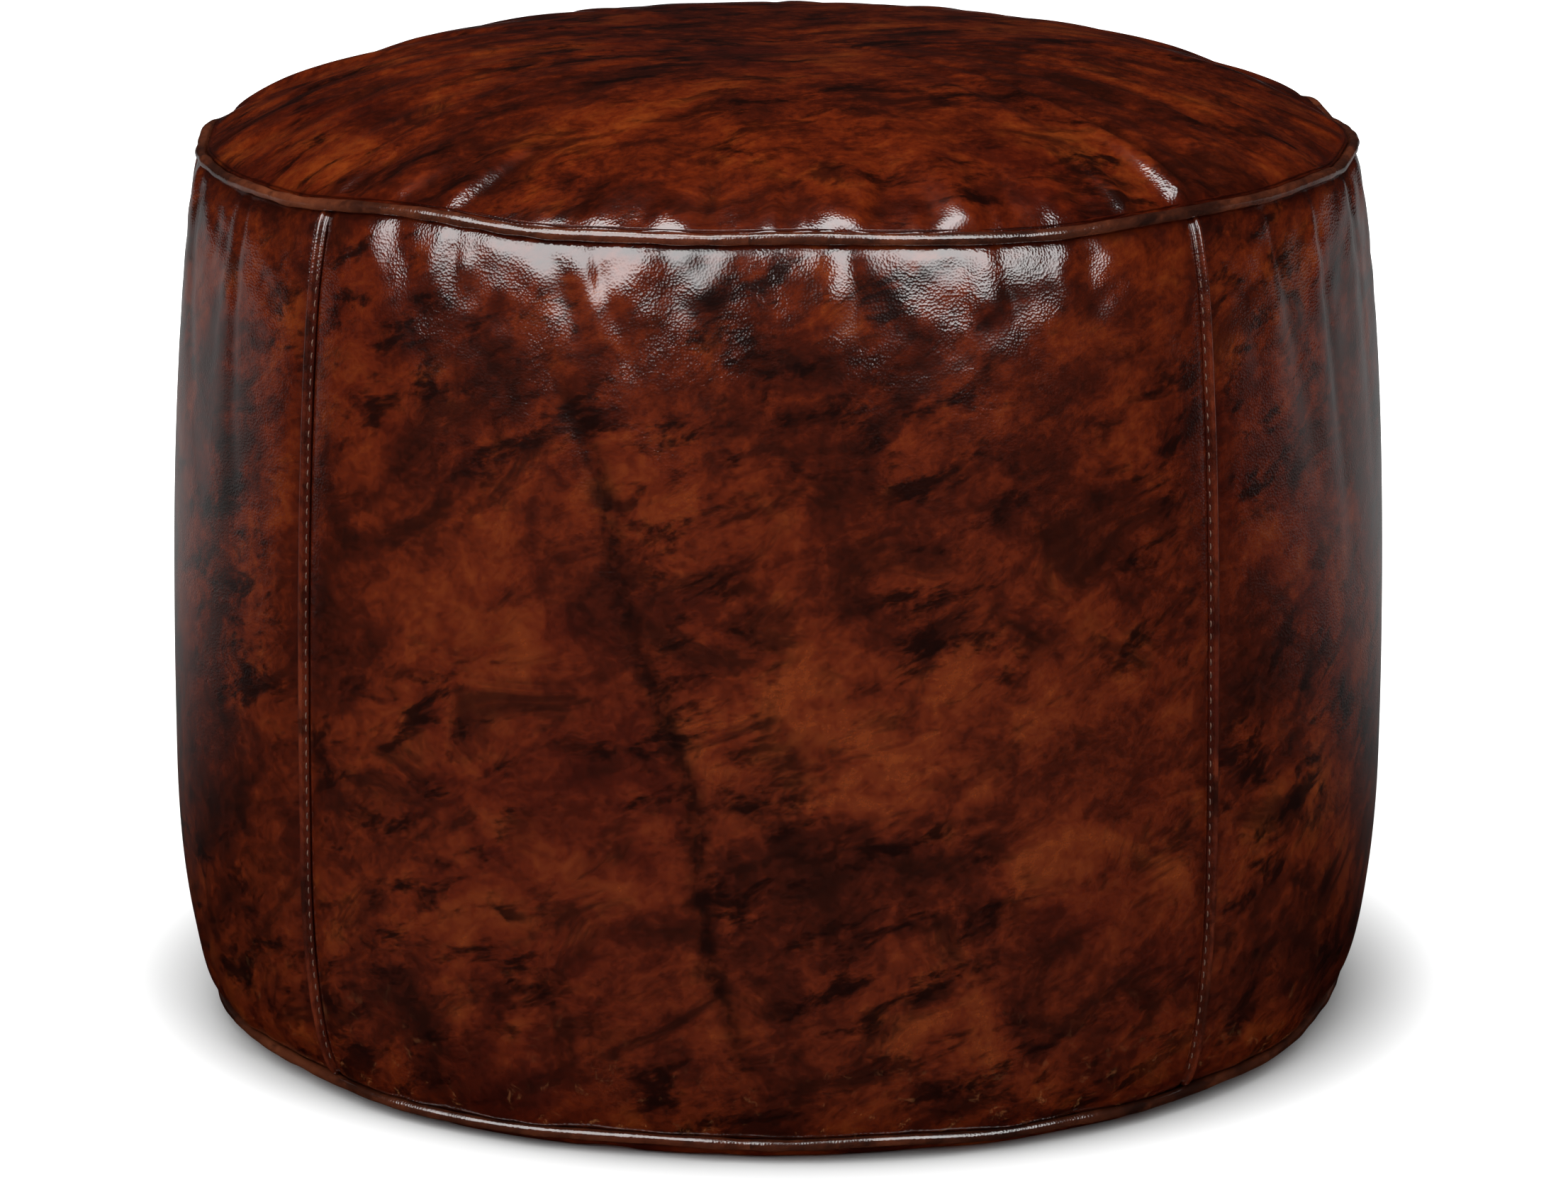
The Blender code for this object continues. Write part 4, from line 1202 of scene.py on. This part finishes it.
def coil(name, way, node):
    """A helix along x: y and z go round a flattened circle while x creeps forward one pitch a turn."""
    low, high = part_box(node)
    wire = 0.00030
    count = int((high.x - low.x - 2 * wire) / COIL_PITCH)
    phase = np.linspace(0, FULL_TURN * count, count * COIL_STEPS + 1)
    middle = (low + high) / 2
    reach_y = (high.y - low.y) / 2 - wire
    reach_z = (high.z - low.z) / 2 - wire
    x = low.x + wire + phase / FULL_TURN * COIL_PITCH
    y = middle.y + way * reach_y * np.cos(phase)
    z = middle.z + reach_z * np.sin(phase)
    centre = np.stack([x, y, z], -1)
    first = np.stack([np.zeros_like(phase), way * np.cos(phase), np.sin(phase)], -1)
    around = evenly_round(5)
    section = wire * circle(around)
    points = carried(section, centre, first, np.array([float(way), 0.0, 0.0]))
    uv = flat_map(x, np.append(around, FULL_TURN))
    return grid_piece(name, points, uv, tube=True, caps=True)


coils = []
for way, side in ((1, "back"), (-1, "front")):
    coils.append((coil(f"zip_spiral_{side}", way, f"zip_coil_{side}"), f"zip_coil_{side}"))
print("spirals", len(coils[0][0].data.polygons), "faces each")

# %% [markdown]
# ## Inside the cover
#
# A cotton bag of kapok-like fibre fills the pouf, with pads of wadding between the bag and the leather
# so that the cover looks smooth. None of it is seen, but each piece is a real form: the pads lie far
# enough inside to clear every dent in the leather, and each is slightly lumpy.

# %% Make the pads, the bag and the filling
PAD_INSET = 0.0068
PAD_THICKNESS = 0.0052


def turned_form(name, radius, height, fluff, seed):
    """A closed form swept round the middle, from a pole at its foot to a pole at its head. Lumps sink
    into it by up to about fluff: smooth waves round it that drift from row to row."""
    turn = evenly_round(160)
    points = lathe(radius, height, turn)
    rise = np.arange(len(radius))[:, None] * 0.35
    lumps = waves(turn + 0.4 * np.sin(rise), seed, 3, 18) + waves(turn - 0.3 * rise / 3, seed + 1, 2, 12)
    sunk = fluff * 0.25 * np.clip(lumps + 2, 0, 4) * np.clip(radius / 0.1, 0, 1)[:, None]
    points -= outward(points) * sunk[..., None]
    around = np.append(turn, FULL_TURN) * 0.25
    run = running(np.hypot(np.diff(radius), np.diff(height)))
    poles = {"pole": (0, 0, height[-1]), "start_pole": (0, 0, height[0])}
    return grid_piece(name, points, flat_map(around, run), ring=True, **poles)


def side_pad(name, start):
    """A sheet of wadding behind one panel, an even distance inside the leather, with a lumpy face."""
    turn = start + np.radians(np.linspace(9.5, 80.5, 60))
    share = np.linspace(0.06, 0.94, 60)
    base = read_skin(wall_skin, turn, share)
    lump = 0.0003 * (waves(turn * 3, 81, 4, 30) + np.sin(share * 60)[:, None])
    points = base - outward_open(base) * (PAD_INSET + np.clip(lump, 0, 0.001))[..., None]
    uv = flat_map(turn * WALL_MIDDLE, share * WALL_LENGTH)
    return thicken(grid_piece(name, points, uv), PAD_THICKNESS)


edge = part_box("top_wadding")[1].x
pad_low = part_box("top_wadding")[0].z
radius, height, _ = crown_line(60)
kept = (radius < edge - 0.001) & (height - PAD_INSET > pad_low + 0.001)
pad_radius = np.concatenate([np.linspace(0.002, edge - 0.001, 30), [edge - 0.0005], radius[kept]])
pad_height = np.concatenate([np.full(30, pad_low + 0.0001), [pad_low + 0.0008], height[kept] - PAD_INSET])
top_pad = turned_form("top_pad", pad_radius, pad_height, 0.0004, 91)
soft = [(top_pad, "top_wadding", "wadding_cotton")]  # each piece, its CAD node and its slot
for number, side in enumerate(SIDES):
    pad = side_pad(f"side_pad_{side}", SEAMS[number])
    soft.append((pad, f"side_wadding_{side}", "wadding_cotton"))


def disc_line(node):
    """Out along the lower face of a thin disc of cloth and back along its upper face."""
    low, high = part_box(node)
    out = np.linspace(0.002, high.x - 0.0003, 36)
    return np.concatenate([out, out[::-1]]), np.concatenate([np.full(36, low.z), np.full(36, high.z)])


for part in ("top", "base"):
    disc = turned_form(f"bag_{part}", *disc_line(f"liner_{part}"), 0.0, 95)
    soft.append((disc, f"liner_{part}", "liner_cotton"))
low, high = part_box("liner_side")
filling_low, filling_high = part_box("filling")
radius, height, _ = wall_line(90)
kept = (height > low.z + 0.0004) & (height < high.z - 0.0004)
bag_radius, bag_height = radius[kept] - (WIDEST - high.x), height[kept]
bag = lathe(bag_radius, bag_height, evenly_round(240))
uv = flat_map(np.linspace(0, FULL_TURN, 241) * 0.26, bag_height)
bag_side = thicken(grid_piece("bag_side", bag, uv, ring=True), 0.0008)
soft.append((bag_side, "liner_side", "liner_cotton"))
fill_edge = bag_radius - (high.x - filling_high.x) - 0.0002
floor_out = np.linspace(0.002, fill_edge[0], 24)
roof_in = np.linspace(fill_edge[-1], 0.002, 24)
fill_radius = np.concatenate([floor_out[:-1], fill_edge, roof_in[1:]])
fill_height = np.concatenate([np.full(23, filling_low.z), bag_height, np.full(23, filling_high.z)])
filling = turned_form("filling_form", fill_radius, fill_height, 0.0020, 97)
soft.append((filling, "filling", "filling_fibre"))
print("soft pieces inside:", [piece.name for piece, _, _ in soft])

# %% [markdown]
# ## Cloth, fibre, tape and metal
#
# The remaining finishes are simple. Cotton cloth is two sets of threads that cross. Wadding and fibre
# are tangled, so a stretched noise does for both. The zip tape is a coarse weave in dark brown, the
# spirals are smooth nylon, and the metal is old brass with fine scratches and patches of tarnish.

# %% Make the remaining finishes and hand them out
def woven(name, light, dark, threads, mapped, roughness=0.9):
    """Crossed threads: two waves at right angles make the weave's bump, and noise varies its colour."""
    material, tree, shader = finish_named(name)
    place = place_of(tree, mapped)
    shade = noise(tree, place, 60, 4, 0.6, 0.0, flat=False)
    thread = {"Vector": place, "Scale": threads}
    warp, weft = [add(tree, "TexWave", thread, bands_direction=way).outputs["Fac"] for way in "XY"]
    weave = maths(tree, "MULTIPLY", warp, weft)
    tone = between(tree, maths(tree, "ADD", shade, maths(tree, "MULTIPLY", weave, 0.35)), 0.4, 0.9)
    colour = mixed(tree, tone, (*dark, 1), (*light, 1))
    normal = bumped(tree, weave, 0.7, 0.0002)
    fill(tree, shader, {"Base Color": colour, "Roughness": roughness, "Sheen Weight": 0.2, "Normal": normal})
    return material


def tangled(name, light, dark, scale):
    """Matted fibres: a long, thin noise bent by a second one, in both colour and bump."""
    material, tree, shader = finish_named(name)
    strands = add(tree, "Mapping", {"Vector": place_of(tree), "Scale": (1, 0.25, 0.6)}).outputs[0]
    matted = noise(tree, strands, scale, 5, 0.7, 1.5, flat=False)
    colour = mixed(tree, between(tree, matted, 0.3, 0.7), (*dark, 1), (*light, 1))
    normal = bumped(tree, matted, 0.8, 0.0008)
    fill(tree, shader, {"Base Color": colour, "Roughness": 0.95, "Sheen Weight": 0.3, "Normal": normal})
    return material


def worn_metal():
    """Old brass: scratches in the roughness, tarnish in the colour."""
    material, tree, shader = finish_named("worn_brass")
    place = place_of(tree)
    tarnish = between(tree, noise(tree, place, 400, 4, 0.6, 0.5, flat=False), 0.35, 0.65)
    colour = mixed(tree, tarnish, (0.20, 0.12, 0.05, 1), (0.56, 0.40, 0.18, 1))
    along = add(tree, "Mapping", {"Vector": place, "Scale": (0.1, 1, 1)}).outputs[0]
    scratch = noise(tree, along, 3000, 2, 0.5, 0.0, flat=False)
    rough = between(tree, scratch, 0.3, 0.7, 0.24, 0.46)
    normal = bumped(tree, scratch, 0.3, 0.00005)
    fill(tree, shader, {"Base Color": colour, "Metallic": 1.0, "Roughness": rough, "Normal": normal})
    return material


def nylon():
    """Smooth dark nylon, a little paler where the slider has rubbed it."""
    material, tree, shader = finish_named("dark_nylon")
    worn = between(tree, noise(tree, place_of(tree), 250, 3, 0.5, 0.0, flat=False), 0.4, 0.7)
    colour = mixed(tree, worn, (0.035, 0.018, 0.010, 1), (0.075, 0.040, 0.022, 1))
    fill(tree, shader, {"Base Color": colour, "Roughness": 0.35})
    return material


finishes = {
    "cord_cotton": woven("twisted_cotton", (0.66, 0.58, 0.44), (0.45, 0.38, 0.27), 500.0, True),
    "liner_cotton": woven("plain_cotton", (0.74, 0.68, 0.56), (0.55, 0.49, 0.38), 420.0, True),
    "wadding_cotton": tangled("cotton_wadding", (0.82, 0.79, 0.72), (0.62, 0.58, 0.50), 220),
    "filling_fibre": tangled("matted_fibre", (0.74, 0.69, 0.58), (0.48, 0.42, 0.32), 120),
    "zip_tape": woven("brown_tape", (0.060, 0.032, 0.018), (0.028, 0.014, 0.008), 330.0, False, 0.85),
    "zip_coil": nylon(),
    "zip_metal": worn_metal(),
}
for piece, node in cords:
    settle(piece, finishes["cord_cotton"], "cord_cotton", "cover", node)
for piece, node in coils:
    settle(piece, finishes["zip_coil"], "zip_coil", "cover", node)
for piece, node, slot in soft:
    settle(piece, finishes[slot], slot, "cover", node)
TAPE_NODES = ("zip_tape_front", "zip_tape_back")
METAL_NODES = ("zip_top_stop_front", "zip_top_stop_back", "zip_bottom_stop", "zip_slider", "zip_pull")
for names, slot in ((TAPE_NODES, "zip_tape"), (METAL_NODES, "zip_metal")):
    for name in names:
        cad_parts[name].data.materials.clear()
        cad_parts[name].data.materials.append(finishes[slot])
print("finishes:", sorted(finishes))

# %% [markdown]
# ## Keep the glare off the crown
#
# Seen from behind, the flat crown would mirror both front boxes whole and turn white. So the front
# boxes light every piece but the crown, and two boxes in the same places, which gloss doesn't show,
# light the crown alone. Metal shows nothing but what it mirrors, so the zip's metal has a lamp of
# its own under the floor.

# %% Say which lamps light the crown and the metal
crown_only = bpy.data.collections.new("crown_only")
all_but_crown = bpy.data.collections.new("all_but_crown")
for group in (crown_only, all_but_crown):
    group.objects.link(bpy.data.objects["cover_top"])
all_but_crown.collection_objects[0].light_linking.link_state = "EXCLUDE"
for lamp in front_boxes:
    lamp.light_linking.receiver_collection = all_but_crown
for lamp in crown_fills:
    lamp.light_linking.receiver_collection = crown_only
metal_only = bpy.data.collections.new("metal_only")
for name in METAL_NODES:
    metal_only.objects.link(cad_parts[name])
zip_box.light_linking.receiver_collection = metal_only
print("front boxes leave out the crown:", [lamp.name for lamp in front_boxes])
